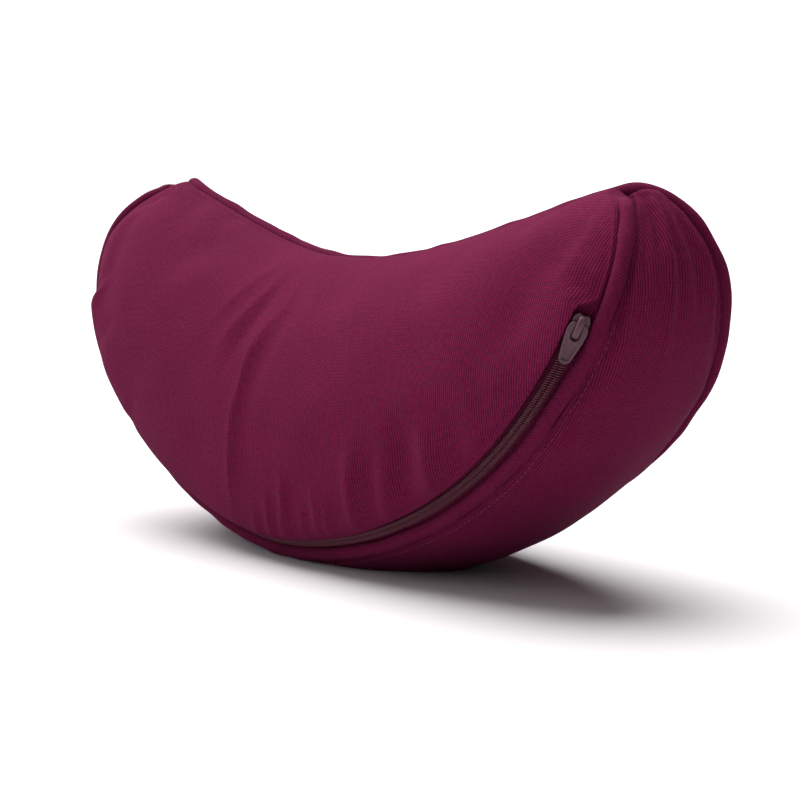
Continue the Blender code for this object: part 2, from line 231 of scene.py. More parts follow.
def make_floor():
    material, tree, shader = start_material("studio_floor", 0.75)
    grain = noise(tree, object_place(tree), 3.0)
    darker = tuple(FLOOR_GRAIN * v for v in FLOOR_COLOUR[:3]) + (1.0,)
    colour = mix_colour(tree, grain, darker, FLOOR_COLOUR)
    tree.links.new(colour, shader.inputs["Base Color"])
    shader.inputs["Specular IOR Level"].default_value = 0.1
    half = FLOOR_SIZE / 2
    mesh = bpy.data.meshes.new("floor")
    corners = [(-half, -half, 0.0), (half, -half, 0.0), (half, half, 0.0), (-half, half, 0.0)]
    mesh.from_pydata(corners, [], [(0, 1, 2, 3)])
    mesh.materials.append(material)
    floor = add_object("floor", mesh)


make_floor()
print("Floor is", FLOOR_SIZE, "m square")

# %% [markdown]
# ## Where the seams run
# A sewn cushion is its seams: once they are right, the cloth between them is easy. The
# outer seams follow a slack half ellipse with rounded upper corners, a little fuller on
# the right, the inner seam sags between the tips, and the gusset between the outer
# seams is shaped like a leaf.
# A place on the cushion is named by how far it lies along a seam, from -1 at the left
# tip to 1 at the right tip. These are the CAD's curves, but the bend at each shoulder
# is smoothed, and the inner seam hangs 1.4 mm lower in its middle.

# %% Seam curves
RIGHT_WIDTH, LEFT_WIDTH = 0.2342, 0.2039            # widest points of the outer seam
RIGHT_SHOULDER_Z, LEFT_SHOULDER_Z = 0.1620, 0.1631  # heights of the widest points
PEAK_X, PEAK_Z = 0.2099, 0.1993     # top of the right end, just outside its tip
PAST_PEAK = math.radians(14.9)      # how far its corner's curve goes on to the tip
LEFT_TIP_X, LEFT_TIP_Z = 0.1680, 0.1966
SEAM_BOTTOM_Z = 0.0042
MIDDLE = np.array((0.0145, -0.0037, 0.0))       # taken off every point, as in the CAD
RIGHT_BELLY_ROUND, LEFT_BELLY_ROUND = 1.114, 1.094
RIGHT_CORNER_ROUND, LEFT_CORNER_ROUND = 1.228, 1.466
NOTCH_DEPTH, NOTCH_RISE, NOTCH_EASE = 0.0410, 2.187, 2.709
GUSSET_HALF, GUSSET_TIP_HALF = 0.0492, 0.0047
GUSSET_TAPER, GUSSET_TAPER_POWER = 0.1623, 2.58
LOW_POINTS, HIGH_POINTS = 240, 160              # of a profile, below and above its shoulder
PROFILE_POINTS, PROFILE_PASSES = 400, 160       # smooths the bend at each shoulder
TIP_SWING_FROM = 0.90       # from here on, the inner seam swings over to the far seam's tip
Y_AXIS = np.array((0.0, 1.0, 0.0))


def unit(vector):
    return vector / np.linalg.norm(vector)


def smooth_step(t):
    t = np.clip(t, 0.0, 1.0)
    return t * t * (3.0 - 2.0 * t)


def run_along(path):
    """How far along the path each of its points lies."""
    steps = np.linalg.norm(np.diff(path, axis=0), axis=1)
    return np.concatenate(((0.0,), np.cumsum(steps)))


def points_at(path, run, at):
    return np.stack([np.interp(at, run, column) for column in path.T], axis=1)


def smooth_path(points, passes, ring=False):
    for _ in range(passes):
        if ring:
            points = (np.roll(points, 1, axis=0) + 2 * points + np.roll(points, -1, axis=0)) / 4
        else:
            inner = (points[:-2] + 2 * points[1:-1] + points[2:]) / 4
            points = np.concatenate((points[:1], inner, points[-1:]))
    return points


def outer_profile(width, shoulder_z, belly_round, corner, past=0.0):
    """One half of the outer seam in X and Z, from the bottom middle to its tip."""
    top_x, top_z, corner_round = corner
    low = np.linspace(0.0, math.pi / 2, LOW_POINTS)
    x_low = width * np.sin(low) ** belly_round
    drop = np.clip(np.cos(low), 0, 1) ** belly_round
    z_low = shoulder_z - (shoulder_z - SEAM_BOTTOM_Z) * drop
    high = np.linspace(0.0, math.pi / 2 + past, HIGH_POINTS)[1:]
    reach = np.sign(np.cos(high)) * np.abs(np.cos(high)) ** corner_round
    x_high = top_x + (width - top_x) * reach
    z_high = shoulder_z + (top_z - shoulder_z) * np.sin(high) ** corner_round
    path = np.stack((np.concatenate((x_low, x_high)), np.concatenate((z_low, z_high))), axis=1)
    run = run_along(path)
    even = points_at(path, run, np.linspace(0.0, run[-1], PROFILE_POINTS))
    path = smooth_path(even, PROFILE_PASSES)
    return path[:, 0], path[:, 1], run_along(path)


RIGHT_HALF = outer_profile(RIGHT_WIDTH, RIGHT_SHOULDER_Z, RIGHT_BELLY_ROUND,
                           (PEAK_X, PEAK_Z, RIGHT_CORNER_ROUND), PAST_PEAK)
LEFT_HALF = outer_profile(LEFT_WIDTH, LEFT_SHOULDER_Z, LEFT_BELLY_ROUND,
                          (LEFT_TIP_X, LEFT_TIP_Z, LEFT_CORNER_ROUND))
RIGHT_SEAM, LEFT_SEAM = RIGHT_HALF[2][-1], LEFT_HALF[2][-1]


def half_of(along):
    return RIGHT_HALF if along > 0 else LEFT_HALF


def gusset_half(along):
    from_tip = (1.0 - abs(along)) * half_of(along)[2][-1]
    fill = 1.0 - (1.0 - min(from_tip / GUSSET_TAPER, 1.0)) ** GUSSET_TAPER_POWER
    return GUSSET_TIP_HALF + (GUSSET_HALF - GUSSET_TIP_HALF) * fill


def outer_seam(along, side):
    """Middle of an outer piping; side is -1 for the near seam and 1 for the far one."""
    x, z, length = half_of(along)
    s = abs(along) * length[-1]
    turned = 1.0 if along > 0 else -1.0
    return np.array((turned * np.interp(s, length, x), side * gusset_half(along),
                     np.interp(s, length, z)))


def inner_seam(along):
    u = abs(along)
    tip_x, tip_z = half_of(along)[0][-1], half_of(along)[1][-1]
    sag = NOTCH_RISE * u ** 2 - (NOTCH_RISE - 1.0) * u ** NOTCH_EASE
    bottom_z = LEFT_TIP_Z - NOTCH_DEPTH
    swing = GUSSET_TIP_HALF * smooth_step((u - TIP_SWING_FROM) / (1.0 - TIP_SWING_FROM))
    return np.array((tip_x * along, swing, bottom_z + (tip_z - bottom_z) * sag))


print("Each outer seam is", round(1000 * (RIGHT_SEAM + LEFT_SEAM)), "mm long")

# %% Directions on the seams
SEAM_LEAN = math.radians(45)     # the outer pipings point halfway between sideways and outwards


def tangent(curve, along, step=0.004):
    a, b = max(along - step, -1.0), min(along + step, 1.0)
    return unit(curve(b) - curve(a))


def seam_frame(along, side):
    """Piping middle, its way out of the cushion, across towards the face, and outwards."""
    way = tangent(lambda t: outer_seam(t, side), along)
    outward = unit(np.array((way[2], 0.0, -way[0])))
    out = side * Y_AXIS * math.cos(SEAM_LEAN) + outward * math.sin(SEAM_LEAN)
    out = unit(out - way * out.dot(way))
    across = np.cross(way, out)
    if across[1] * side < 0:
        across = -across
    return outer_seam(along, side), out, across, outward


def inner_frame(along):
    way = tangent(inner_seam, along)
    out = np.array((-way[2], 0.0, way[0]))
    out = unit(out - way * out.dot(way))
    across = np.cross(out, way)
    if across[1] > 0:
        across = -across
    return inner_seam(along), out, across


# %% [markdown]
# ## The cover
# The cover is one sheet of points: each station along the seams has one closed loop of
# points that goes round the inner piping, over the near face, into the zip's channel,
# under the gusset and back over the far face. A loft like this was chosen over a
# sculpted lump because every row keeps its place on the cloth, so seams stay sharp and
# the weave can follow the cut of each panel.

# %% Numbers of the cover
PIPING_RADIUS, FIT_GAP = 0.0038, 0.0006
GROOVE_HALF_ANGLE = math.radians(75)
CHANNEL_WIDTH, CHANNEL_CLOSED, CHANNEL_DEPTH, LIP_HEIGHT = 0.0090, 0.0006, 0.0024, 0.0026
ZIP_START, ZIP_END, ZIP_EASE = 0.072, 0.095, 0.010
FACE_EASE, EDGE_SHARE = 0.065, 0.20     # the face widens over a longer way, all but its edge
FACE_INNER_SWELL, FACE_OUTER_SWELL = 0.350, 0.380
FACE_INNER_ANGLE, FACE_INNER_ANGLE_TIP = math.radians(108), math.radians(60)
FACE_OUTER_ANGLE, FACE_OUTER_ANGLE_TIP = math.radians(65.4), math.radians(27.4)
GUSSET_SWELL, GUSSET_SLACK_REACH = 0.257, 2.08
GUSSET_SWELL_ANGLE, GUSSET_SWELL_ANGLE_END = math.radians(59.5), math.radians(36.9)
BODY_END = 0.966                 # the loops go this far, and a cone closes each tip
STATIONS, TIP_LOOPS = 372, 10
GROOVE_COLUMNS, NEAR_COLUMNS, LIP_COLUMNS, FLOOR_COLUMNS = 7, 66, 5, 3
GUSSET_COLUMNS, FAR_COLUMNS = 50, 46
LIP_RADIUS, SHUT_LIP_RADIUS, LIP_ROOM = 0.0013, 0.0003, 1.6     # room: radii the face stops short
# How far cloth climbs a piping, as a share of a half groove: the gusset and the zip's floor
# beside the near one, and the face beside the inner one
GUSSET_CLIMB, FACE_CLIMB, ZIP_CLIMB, SNUG_GAP = 1.40, 1.50, 0.80, 0.0001


def spread(count):
    """Shares of a curve, closer together at its ends."""
    p = np.arange(1, count + 1) / (count + 1)
    return 0.5 * (1.0 - np.cos(math.pi * p)) / 2.0 + 0.5 * p


def bezier(a, handle_a, handle_b, b, shares):
    t = shares[:, None]
    s = 1.0 - t
    return s ** 3 * a + 3 * s * s * t * handle_a + 3 * s * t * t * handle_b + t ** 3 * b


def groove(middle, out, across, first, last, gap=FIT_GAP):
    """Concave arc round a piping; angles run from straight in, positive towards across."""
    a = np.linspace(first, last, GROOVE_COLUMNS)[:, None]
    return middle + (PIPING_RADIUS + gap) * (np.sin(a) * across - np.cos(a) * out)


def channel_open(along, ease):
    """0 where the seam is closed, 1 where the zip lies in it; ease is the length between."""
    right = smooth_step(((1.0 - along) * RIGHT_SEAM - ZIP_START + ease) / ease)
    left = smooth_step(((1.0 + along) * LEFT_SEAM - ZIP_END + ease) / ease)
    return right * left


# %% Curves across the cover


def face_curve(inner, outer, side, along, shares):
    chord = outer - inner
    length = np.linalg.norm(chord)
    way = chord / length
    swell = side * Y_AXIS
    swell = unit(swell - way * swell.dot(way))
    steep = FACE_INNER_ANGLE + (FACE_INNER_ANGLE_TIP - FACE_INNER_ANGLE) * abs(along)
    handle_a = inner + length * FACE_INNER_SWELL * (
        math.cos(steep) * way + math.sin(steep) * swell)
    steep = FACE_OUTER_ANGLE + (FACE_OUTER_ANGLE_TIP - FACE_OUTER_ANGLE) * along ** 2
    handle_b = outer + length * FACE_OUTER_SWELL * (
        math.sin(steep) * swell - math.cos(steep) * way)
    return bezier(inner, handle_a, handle_b, outer, shares)


def gusset_curve(near, far, outward, along):
    chord = far - near
    length = np.linalg.norm(chord)
    way = chord / length
    out = unit(outward - way * outward.dot(way))
    slack = 1.0 - smooth_step(abs(along) / GUSSET_SLACK_REACH)
    angle = GUSSET_SWELL_ANGLE_END + (GUSSET_SWELL_ANGLE - GUSSET_SWELL_ANGLE_END) * slack
    handle_a = near + length * GUSSET_SWELL * (math.sin(angle) * out + math.cos(angle) * way)
    handle_b = far + length * GUSSET_SWELL * (math.sin(angle) * out - math.cos(angle) * way)
    return bezier(near, handle_a, handle_b, far, spread(GUSSET_COLUMNS))


def rounded_corner(a, corner, b, radius, count):
    """A few points that cut a corner round."""
    first = corner + unit(a - corner) * radius
    last = corner + unit(b - corner) * radius
    t = np.linspace(0.0, 1.0, count)[:, None]
    return (1 - t) ** 2 * first + 2 * t * (1 - t) * corner + t * t * last


def cover_loop(along):
    inner, inner_out, inner_across = inner_frame(along)
    near, near_out, near_across, outward = seam_frame(along, -1)
    far, far_out, far_across, _ = seam_frame(along, 1)
    wide = GROOVE_HALF_ANGLE
    inner_arc = groove(inner, inner_out, inner_across, -wide, wide * FACE_CLIMB)
    near_arc = groove(near, near_out, near_across, wide * ZIP_CLIMB, -wide * GUSSET_CLIMB,
                      SNUG_GAP)
    far_arc = groove(far, far_out, far_across, -wide, wide)

    def channel(share):
        """Both edges of the channel's floor and the lip of the face above it."""
        opening = CHANNEL_CLOSED + (CHANNEL_WIDTH - CHANNEL_CLOSED) * share
        start = near + (PIPING_RADIUS + FIT_GAP) * near_across
        low = start - CHANNEL_DEPTH * share * near_out
        high = low + (opening + CHANNEL_CLOSED) * near_across
        high = high + ((LIP_HEIGHT + CHANNEL_DEPTH) * share + CHANNEL_CLOSED) * near_out
        return low, low + opening * near_across, high

    share = channel_open(along, ZIP_EASE)
    floor_a, floor_b, lip = channel(share)
    calm_lip = channel(channel_open(along, FACE_EASE))[2]

    radius = SHUT_LIP_RADIUS + (LIP_RADIUS - SHUT_LIP_RADIUS) * share
    length = np.linalg.norm(lip - inner_arc[-1])
    shares = spread(NEAR_COLUMNS) * (1.0 - LIP_ROOM * radius / length)
    near_face = face_curve(inner_arc[-1], calm_lip, -1, along, shares)
    near_face = near_face + smooth_step(
        (shares - 1.0 + EDGE_SHARE) / EDGE_SHARE)[:, None] * (lip - calm_lip)
    edge = rounded_corner(near_face[-1], lip, floor_b, radius, LIP_COLUMNS)
    floor = np.array((floor_b, (floor_a + floor_b) / 2, floor_a))
    gusset = gusset_curve(near_arc[-1], far_arc[0], outward, along)
    far_face = face_curve(inner_arc[0], far_arc[-1], 1, along, spread(FAR_COLUMNS))[::-1]
    return np.concatenate((inner_arc, near_face, edge, floor, near_arc, gusset, far_arc, far_face))


# %% Stack the loops
STATION_EASE = 0.3      # puts the loops closer together towards the tips


def cover_stations():
    x = np.linspace(-1.0, 1.0, STATIONS)
    return BODY_END * ((1.0 - STATION_EASE) * x + STATION_EASE * np.sin(x * math.pi / 2))


stations = cover_stations()
grid = np.array([cover_loop(along) for along in stations]) - MIDDLE
FACE_FIRST = GROOVE_COLUMNS
FACE_LAST = FACE_FIRST + NEAR_COLUMNS
NEAR_GROOVE = FACE_LAST + LIP_COLUMNS + FLOOR_COLUMNS
GUSSET_FIRST = NEAR_GROOVE + GROOVE_COLUMNS
FAR_GROOVE = GUSSET_FIRST + GUSSET_COLUMNS
FAR_FIRST = FAR_GROOVE + GROOVE_COLUMNS
COLUMNS = FAR_FIRST + FAR_COLUMNS
PANELS = ((FACE_FIRST, FACE_LAST), (GUSSET_FIRST, FAR_GROOVE), (FAR_FIRST, COLUMNS))
print("Cover sheet:", grid.shape[0], "loops of", COLUMNS, "points")

# %% [markdown]
# ## Thread directions
# Cloth is cut flat, so its threads stay parallel on each panel however the panel
# swells. Each loop is therefore measured along its own length and laid down flat again
# round the middle of the panel. The result is a UV map in real metres, and the weave
# keeps one size all over the cushion.

# %% Flat cut of each panel


def loop_lengths(points):
    closed = np.concatenate((points, points[:, :1]), axis=1)
    steps = np.linalg.norm(np.diff(closed, axis=1), axis=2)
    return np.concatenate((np.zeros((len(points), 1)), np.cumsum(steps, axis=1)), axis=1)


def flat_cut(points, lengths, first, last):
    """Flat places of all columns, for the panel between two columns."""
    a, b = points[:, first][:, (0, 2)], points[:, last % COLUMNS][:, (0, 2)]
    way = b - a
    way = way / np.linalg.norm(way, axis=1)[:, None]
    run = lengths - (lengths[:, first] + lengths[:, last])[:, None] / 2
    return (a + b)[:, None] / 2 + way[:, None] * run[:, :, None]


def gusset_cut(lengths, alongs):
    middle = (lengths[:, NEAR_GROOVE] + lengths[:, FAR_FIRST]) / 2
    run = lengths - middle[:, None]
    seam = alongs * np.where(alongs > 0, RIGHT_SEAM, LEFT_SEAM)
    return np.stack((run, np.repeat(seam[:, None], run.shape[1], axis=1)), axis=2)


lengths = loop_lengths(grid)
near_cut = flat_cut(grid, lengths, FACE_FIRST, FACE_LAST)
gusset_flat = gusset_cut(lengths, stations)
print("Near face is cut", round(1000 * np.ptp(near_cut[:, FACE_FIRST:FACE_LAST, 1])), "mm high")

# %% [markdown]
# ## Filling it
# The hull filling presses the cloth out between the seams. The sheet is first drawn in
# a little, then Blender's Cloth lets it swell under pressure while the seams are held.
# The cloth is also cut slightly large, so it buckles softly near the seams as real
# canvas does. A coarse copy is enough for this: its movement is capped, smoothed and
# added to the fine sheet, and the simulation itself is thrown away.

# %% Cloth simulation
SIM_STATION_STEP, SIM_COLUMN_STEP = 4, 3
SIM_LAST_FRAME, SIM_CAP = 20, 0.0045
DRAWN_IN = 0.0022
SMOOTH_PASSES = 30
HELD_TIP, TIP_EASE = 0.010, 0.040           # cloth held still at each tip, then let go
SWELL_REACH, SEAM_REACH = 0.035, 0.006      # how far from a seam the cloth is held back
CANVAS_IN_CLOTH = {                         # a shrink below 0 is extra cloth
    "quality": 6, "mass": 0.3, "tension_stiffness": 18.0, "compression_stiffness": 18.0,
    "shear_stiffness": 6.0, "bending_stiffness": 0.4, "use_pressure": True,
    "uniform_pressure_force": 3.0, "shrink_min": -0.012, "shrink_max": -0.012,
    "vertex_group_mass": "seams",
}


def skin_faces(rows, columns, ring_rows=False):
    """Quads of a stack of closed loops."""
    i = np.arange(rows if ring_rows else rows - 1)[:, None] * columns
    after = (i + columns) % (rows * columns)
    j = np.arange(columns)[None]
    k = (j + 1) % columns
    return np.stack((i + j, i + k, after + k, after + j), axis=2).reshape(-1, 4)


def sheet_normals(points):
    along = np.gradient(points, axis=0)
    wrapped = np.concatenate((points[:, -1:], points, points[:, :1]), axis=1)
    across = (wrapped[:, 2:] - wrapped[:, :-2]) / 2
    normal = np.cross(across, along)
    size = np.linalg.norm(normal, axis=2)[:, :, None]
    return normal / np.maximum(size, 1e-12)


def seam_distance_share(reach):
    """0 in the seams, 1 further than reach from them."""
    share = np.zeros((len(grid), COLUMNS))
    for first, last in PANELS:
        from_first = lengths[:, first:last] - lengths[:, first - 1:first]
        from_last = lengths[:, last:last + 1] - lengths[:, first:last]
        share[:, first:last] = smooth_step(np.minimum(from_first, from_last) / reach)
    from_tip = (1.0 - np.abs(stations)) * LEFT_SEAM
    return share * smooth_step((from_tip - HELD_TIP) / TIP_EASE)[:, None]


def blur(field, passes):
    for _ in range(passes):
        padded = np.concatenate((field[:1], field, field[-1:]))
        field = (padded[:-2] + 2 * padded[1:-1] + padded[2:]) / 4
        wrapped = np.concatenate((field[:, -1:], field, field[:, :1]), axis=1)
        field = (wrapped[:, :-2] + 2 * wrapped[:, 1:-1] + wrapped[:, 2:]) / 4
    return field


# %% Let the cloth swell


def swell_cloth(start):
    """How far each point of the coarse sheet moves under the pressure of the filling."""
    held = np.ones(COLUMNS, bool)
    for first, last in PANELS:
        held[first:last] = False
    rows = list(range(0, len(start) - 1, SIM_STATION_STEP)) + [len(start) - 1]
    columns = list(range(0, COLUMNS, SIM_COLUMN_STEP))
    coarse = start[np.ix_(rows, columns)]
    points = coarse.reshape(-1, 3)
    faces = skin_faces(len(rows), len(columns)).tolist()
    faces += [tuple(range(len(columns)))[::-1]]
    faces += [tuple(range(len(points) - len(columns), len(points)))]
    mesh = bpy.data.meshes.new("cloth_trial")
    mesh.from_pydata(points.tolist(), [], faces)
    check = bmesh.new()
    check.from_mesh(mesh)
    bmesh.ops.recalc_face_normals(check, faces=check.faces[:])
    check.to_mesh(mesh)
    check.free()
    trial = add_object("cloth_trial", mesh)
    pins = np.repeat(held[columns][None], len(rows), axis=0)
    pins[:2] = pins[-2:] = True
    group = trial.vertex_groups.new(name="seams")
    group.add(np.flatnonzero(pins.ravel()).tolist(), 1.0, "REPLACE")
    cloth = trial.modifiers.new("filling", "CLOTH")
    for name, value in CANVAS_IN_CLOTH.items():
        setattr(cloth.settings, name, value)
    cloth.settings.effector_weights.gravity = 0.0
    cloth.point_cache.frame_start = 1
    cloth.point_cache.frame_end = SIM_LAST_FRAME
    for number in range(1, SIM_LAST_FRAME + 1):
        bpy.context.scene.frame_set(number)
    done = trial.evaluated_get(bpy.context.evaluated_depsgraph_get())
    moved = np.array([v.co[:] for v in done.data.vertices]).reshape(coarse.shape) - coarse
    bpy.context.scene.frame_set(1)
    bpy.data.objects.remove(trial, do_unlink=True)
    size = np.linalg.norm(moved, axis=2)[:, :, None]
    moved *= np.minimum(1.0, SIM_CAP / np.maximum(size, 1e-9))
    return moved, rows, columns


def to_fine_sheet(moved, rows, columns):
    wrapped = np.concatenate((moved, moved[:, :1]), axis=1)
    ends = columns + [COLUMNS]
    wide = np.empty((len(rows), COLUMNS, 3))
    fine = np.empty((len(grid), COLUMNS, 3))
    for axis in range(3):
        for i in range(len(rows)):
            wide[i, :, axis] = np.interp(np.arange(COLUMNS), ends, wrapped[i, :, axis])
        for j in range(COLUMNS):
            fine[:, j, axis] = np.interp(np.arange(len(grid)), rows, wide[:, j, axis])
    return blur(fine, SMOOTH_PASSES)


away_from_seams = seam_distance_share(SWELL_REACH)
sheet = grid
drawn = grid - DRAWN_IN * away_from_seams[:, :, None] * sheet_normals(grid)
movement = to_fine_sheet(*swell_cloth(drawn))
sheet = drawn + movement * seam_distance_share(SEAM_REACH)[:, :, None]
change = np.linalg.norm(sheet - grid, axis=2)
print("Filling moves the cloth by", round(1000 * change.mean(), 2), "mm on average,",
      round(1000 * change.max(), 2), "mm at most")

# %% [markdown]
# ## Puckers and creases
# The zip is sewn in slightly tight, so the near face gathers into short ridges above
# it, and a few long creases pull from the sagging inner seam towards the belly. The
# gusset has its own creases beside the zip and pleats at the right tip. Each crease is
# a short path over a panel, given by where it lies along and across. It lifts or sinks
# the sheet by a soft bell shape, so the same few lines of code serve for all of them.

# %% Table of creases
FACE_CREASES = (
    # path as (along, across) pairs, half width in mm, height in mm, sharpness
    (((0.00, 0.24), (0.02, 0.41), (-0.04, 0.50), (-0.04, 0.57), (-0.05, 0.71), (-0.06, 0.85),
      (-0.08, 1.0)), 3.6, 1.45, 1.3),
    (((0.04, 0.26), (0.05, 0.43), (0.00, 0.54), (-0.01, 0.72)), 9.0, -1.40, 2.0),
    (((-0.09, 0.24), (-0.10, 0.35), (-0.135, 0.42), (-0.17, 0.52)), 5.0, 1.00, 1.6),
    (((-0.05, 0.25), (-0.06, 0.36), (-0.09, 0.45), (-0.12, 0.56)), 6.0, -1.10, 1.8),
    (((-0.15, 0.21), (-0.20, 0.34), (-0.24, 0.46)), 5.0, 0.80, 1.6),
    (((0.014, 0.82), (0.000, 0.90), (-0.01, 1.0)), 3.2, 1.40, 1.7),
    (((0.056, 0.76), (0.045, 0.86), (0.025, 1.0)), 3.4, 1.90, 1.6),
    (((0.110, 0.70), (0.094, 0.82), (0.060, 1.0)), 3.8, 2.10, 1.7),
    (((0.150, 0.79), (0.130, 0.88), (0.115, 1.0)), 3.2, 1.60, 1.6),
    (((0.190, 0.76), (0.170, 0.87), (0.145, 1.0)), 3.8, 2.00, 1.7),
    (((0.217, 0.80), (0.190, 0.90), (0.175, 1.0)), 3.0, 1.50, 1.6),
    (((0.310, 0.68), (0.270, 0.82), (0.240, 1.0)), 4.4, 2.50, 1.8),
    (((0.375, 0.73), (0.340, 0.86), (0.305, 1.0)), 7.0, 1.90, 2.0),
    (((0.435, 0.68), (0.400, 0.84), (0.365, 1.0)), 8.0, -3.20, 2.0),
    (((0.475, 0.73), (0.455, 0.85), (0.425, 1.0)), 5.5, 2.50, 1.9),
    (((0.350, 0.70), (0.325, 0.82), (0.290, 1.0)), 6.0, -1.60, 2.0),
    (((0.540, 0.74), (0.520, 0.88), (0.490, 1.0)), 8.0, -1.50, 2.0),
    (((0.620, 0.66), (0.600, 0.82), (0.575, 1.0)), 8.0, -1.20, 2.0),
    (((-0.905, 0.30), (-0.905, 0.55), (-0.90, 0.82)), 2.6, -1.10, 1.7),
    (((-0.60, 0.70), (-0.62, 0.85), (-0.63, 1.0)), 6.0, -0.90, 2.0),
    (((-0.42, 0.78), (-0.44, 0.90), (-0.45, 1.0)), 6.0, -1.00, 2.0),
    (((0.93, 0.55), (0.88, 0.72), (0.86, 0.90)), 4.0, -1.40, 1.8),
)
GUSSET_CREASES = (
    # the same, with across running from -1 at the near seam to 1 at the far one
    (((0.70, -0.84), (0.79, -0.86), (0.86, -0.90), (0.93, -0.92), (0.96, -0.90)), 2.8, -2.60, 1.9),
    (((0.80, -0.58), (0.87, -0.62), (0.92, -0.60), (0.955, -0.58)), 2.8, -2.20, 2.0),
    (((0.82, -0.76), (0.87, -0.77), (0.92, -0.76), (0.955, -0.75)), 1.9, 1.80, 1.6),
    (((0.86, -0.38), (0.92, -0.36), (0.955, -0.34)), 2.2, -2.60, 1.8),
    (((0.72, -0.08), (0.80, -0.16), (0.88, -0.22), (0.945, -0.22)), 2.0, 2.30, 1.5),
    (((0.78, -0.02), (0.88, -0.06), (0.945, -0.06)), 2.8, -2.00, 2.0),
    (((0.73, -0.54), (0.78, -0.62), (0.81, -0.68), (0.85, -0.68)), 2.6, 1.80, 1.6),
    (((0.61, -0.62), (0.65, -0.80), (0.69, -0.92), (0.72, -0.92), (0.76, -0.90)), 2.4, -1.60, 1.5),
    (((0.58, -0.50), (0.64, -0.62), (0.68, -0.74), (0.71, -0.72)), 3.0, 1.80, 1.5),
    (((0.52, -0.60), (0.57, -0.75), (0.60, -0.90), (0.67, -0.95)), 2.4, -1.40, 1.6),
    (((0.79, 0.22), (0.87, 0.20), (0.945, 0.18)), 3.0, -2.00, 2.0),
    (((0.74, 0.46), (0.84, 0.44), (0.93, 0.42)), 3.0, 1.60, 1.8),
    (((0.68, 0.82), (0.80, 0.80), (0.88, 0.76), (0.955, 0.70)), 3.4, -2.40, 2.0),
)

# %% Raise the creases
FADE_IN, FADE_OUT, LAST_HEIGHT = 0.45, 0.25, 0.45       # shares of the path, and of the height


def panel_place(cut, first, last, along, share):
    """Flat place of a point given by along and by its share of the panel's columns."""
    column = first - 1 + share * (last - first + 1)
    row = np.interp(along, stations, np.arange(len(stations)))
    i, j = int(min(row, len(stations) - 2)), int(min(column, cut.shape[1] - 2))
    a, b = row - i, column - j
    low = cut[i, j] * (1 - b) + cut[i, j + 1] * b
    high = cut[i + 1, j] * (1 - b) + cut[i + 1, j + 1] * b
    return low * (1 - a) + high * a


def crease_height(places, path, half_width, height, sharpness):
    """Height of one crease over all the flat places, fading towards its ends."""
    before = run_along(path)
    nearest = np.full(places.shape[:2], 1e9)
    done = np.zeros(places.shape[:2])
    for a, b, start in zip(path, path[1:], before):
        size = np.linalg.norm(b - a)
        way = (b - a) / size
        run = np.clip((places - a) @ way, 0.0, size)
        gap = np.linalg.norm(places - a - run[:, :, None] * way, axis=2)
        closer = gap < nearest
        nearest = np.where(closer, gap, nearest)
        done = np.where(closer, (start + run) / before[-1], done)
    rise, fall = smooth_step(done / FADE_IN), smooth_step((1.0 - done) / FADE_OUT)
    fade = rise * (LAST_HEIGHT + (1.0 - LAST_HEIGHT) * fall)
    return height * fade * np.exp(-(nearest / half_width) ** sharpness)


def panel_creases(table, cut, first, last, to_share):
    total = np.zeros((len(grid), last - first))
    for path, half_width, height, sharpness in table:
        flat = np.array([panel_place(cut, first, last, a, to_share(c)) for a, c in path])
        total += crease_height(
            cut[:, first:last], flat, half_width / 1000, height / 1000, sharpness)
    return total


relief = np.zeros((len(grid), COLUMNS))
relief[:, FACE_FIRST:FACE_LAST] = panel_creases(
    FACE_CREASES, near_cut, FACE_FIRST, FACE_LAST, lambda c: c)
relief[:, GUSSET_FIRST:FAR_GROOVE] = panel_creases(
    GUSSET_CREASES, gusset_flat, GUSSET_FIRST, FAR_GROOVE, lambda c: (c + 1) / 2)
sheet = sheet + relief[:, :, None] * sheet_normals(sheet)
print("Deepest and highest crease in mm:", in_mm((relief.min(), relief.max())))

# %% [markdown]
# ## Unevenness
# No filled cushion is perfectly smooth. A sum of a few long waves, with seeded
# directions, gives the lumps of a hull filling, less than a millimetre high.

# %% Lumps of the filling
LUMP_SEED, LUMP_WAVES, LUMP_HEIGHT = 7, 14, 0.0005
SHORT_WAVE, LONG_WAVE = 0.028, 0.075


def lumps(points):
    """A smooth field of seeded waves through space, about -1 to 1."""
    random = np.random.default_rng(LUMP_SEED)
    total = np.zeros(points.shape[:2])
    for _ in range(LUMP_WAVES):
        way = random.normal(size=3)
        wave = 2 * math.pi / random.uniform(SHORT_WAVE, LONG_WAVE)
        total += np.sin(points @ (way / np.linalg.norm(way)) * wave + random.uniform(0, 6.28))
    return total / math.sqrt(LUMP_WAVES)


sheet = sheet + (LUMP_HEIGHT * lumps(sheet) * away_from_seams)[:, :, None] * sheet_normals(sheet)
sheet[:, :, 2] = np.maximum(sheet[:, :, 2], 0.0)
print("Cover box in mm:", in_mm(np.ptp(sheet.reshape(-1, 3), axis=0)))

# %% Close the tips and make the mesh
TIP_SINK, TIP_CAP = 0.0030, 0.03        # cap: size of the last ring, as a share of the first


def closed_tip(loop, sign):
    """Loops that draw together under the place where the pipings meet."""
    apex = inner_seam(sign) * (1.0, 0.0, 1.0) - (0.0, 0.0, TIP_SINK) - MIDDLE
    shares = np.maximum(np.linspace(1.0, 0.0, TIP_LOOPS + 1)[1:], TIP_CAP)
    return [apex + (loop - apex) * share for share in shares]


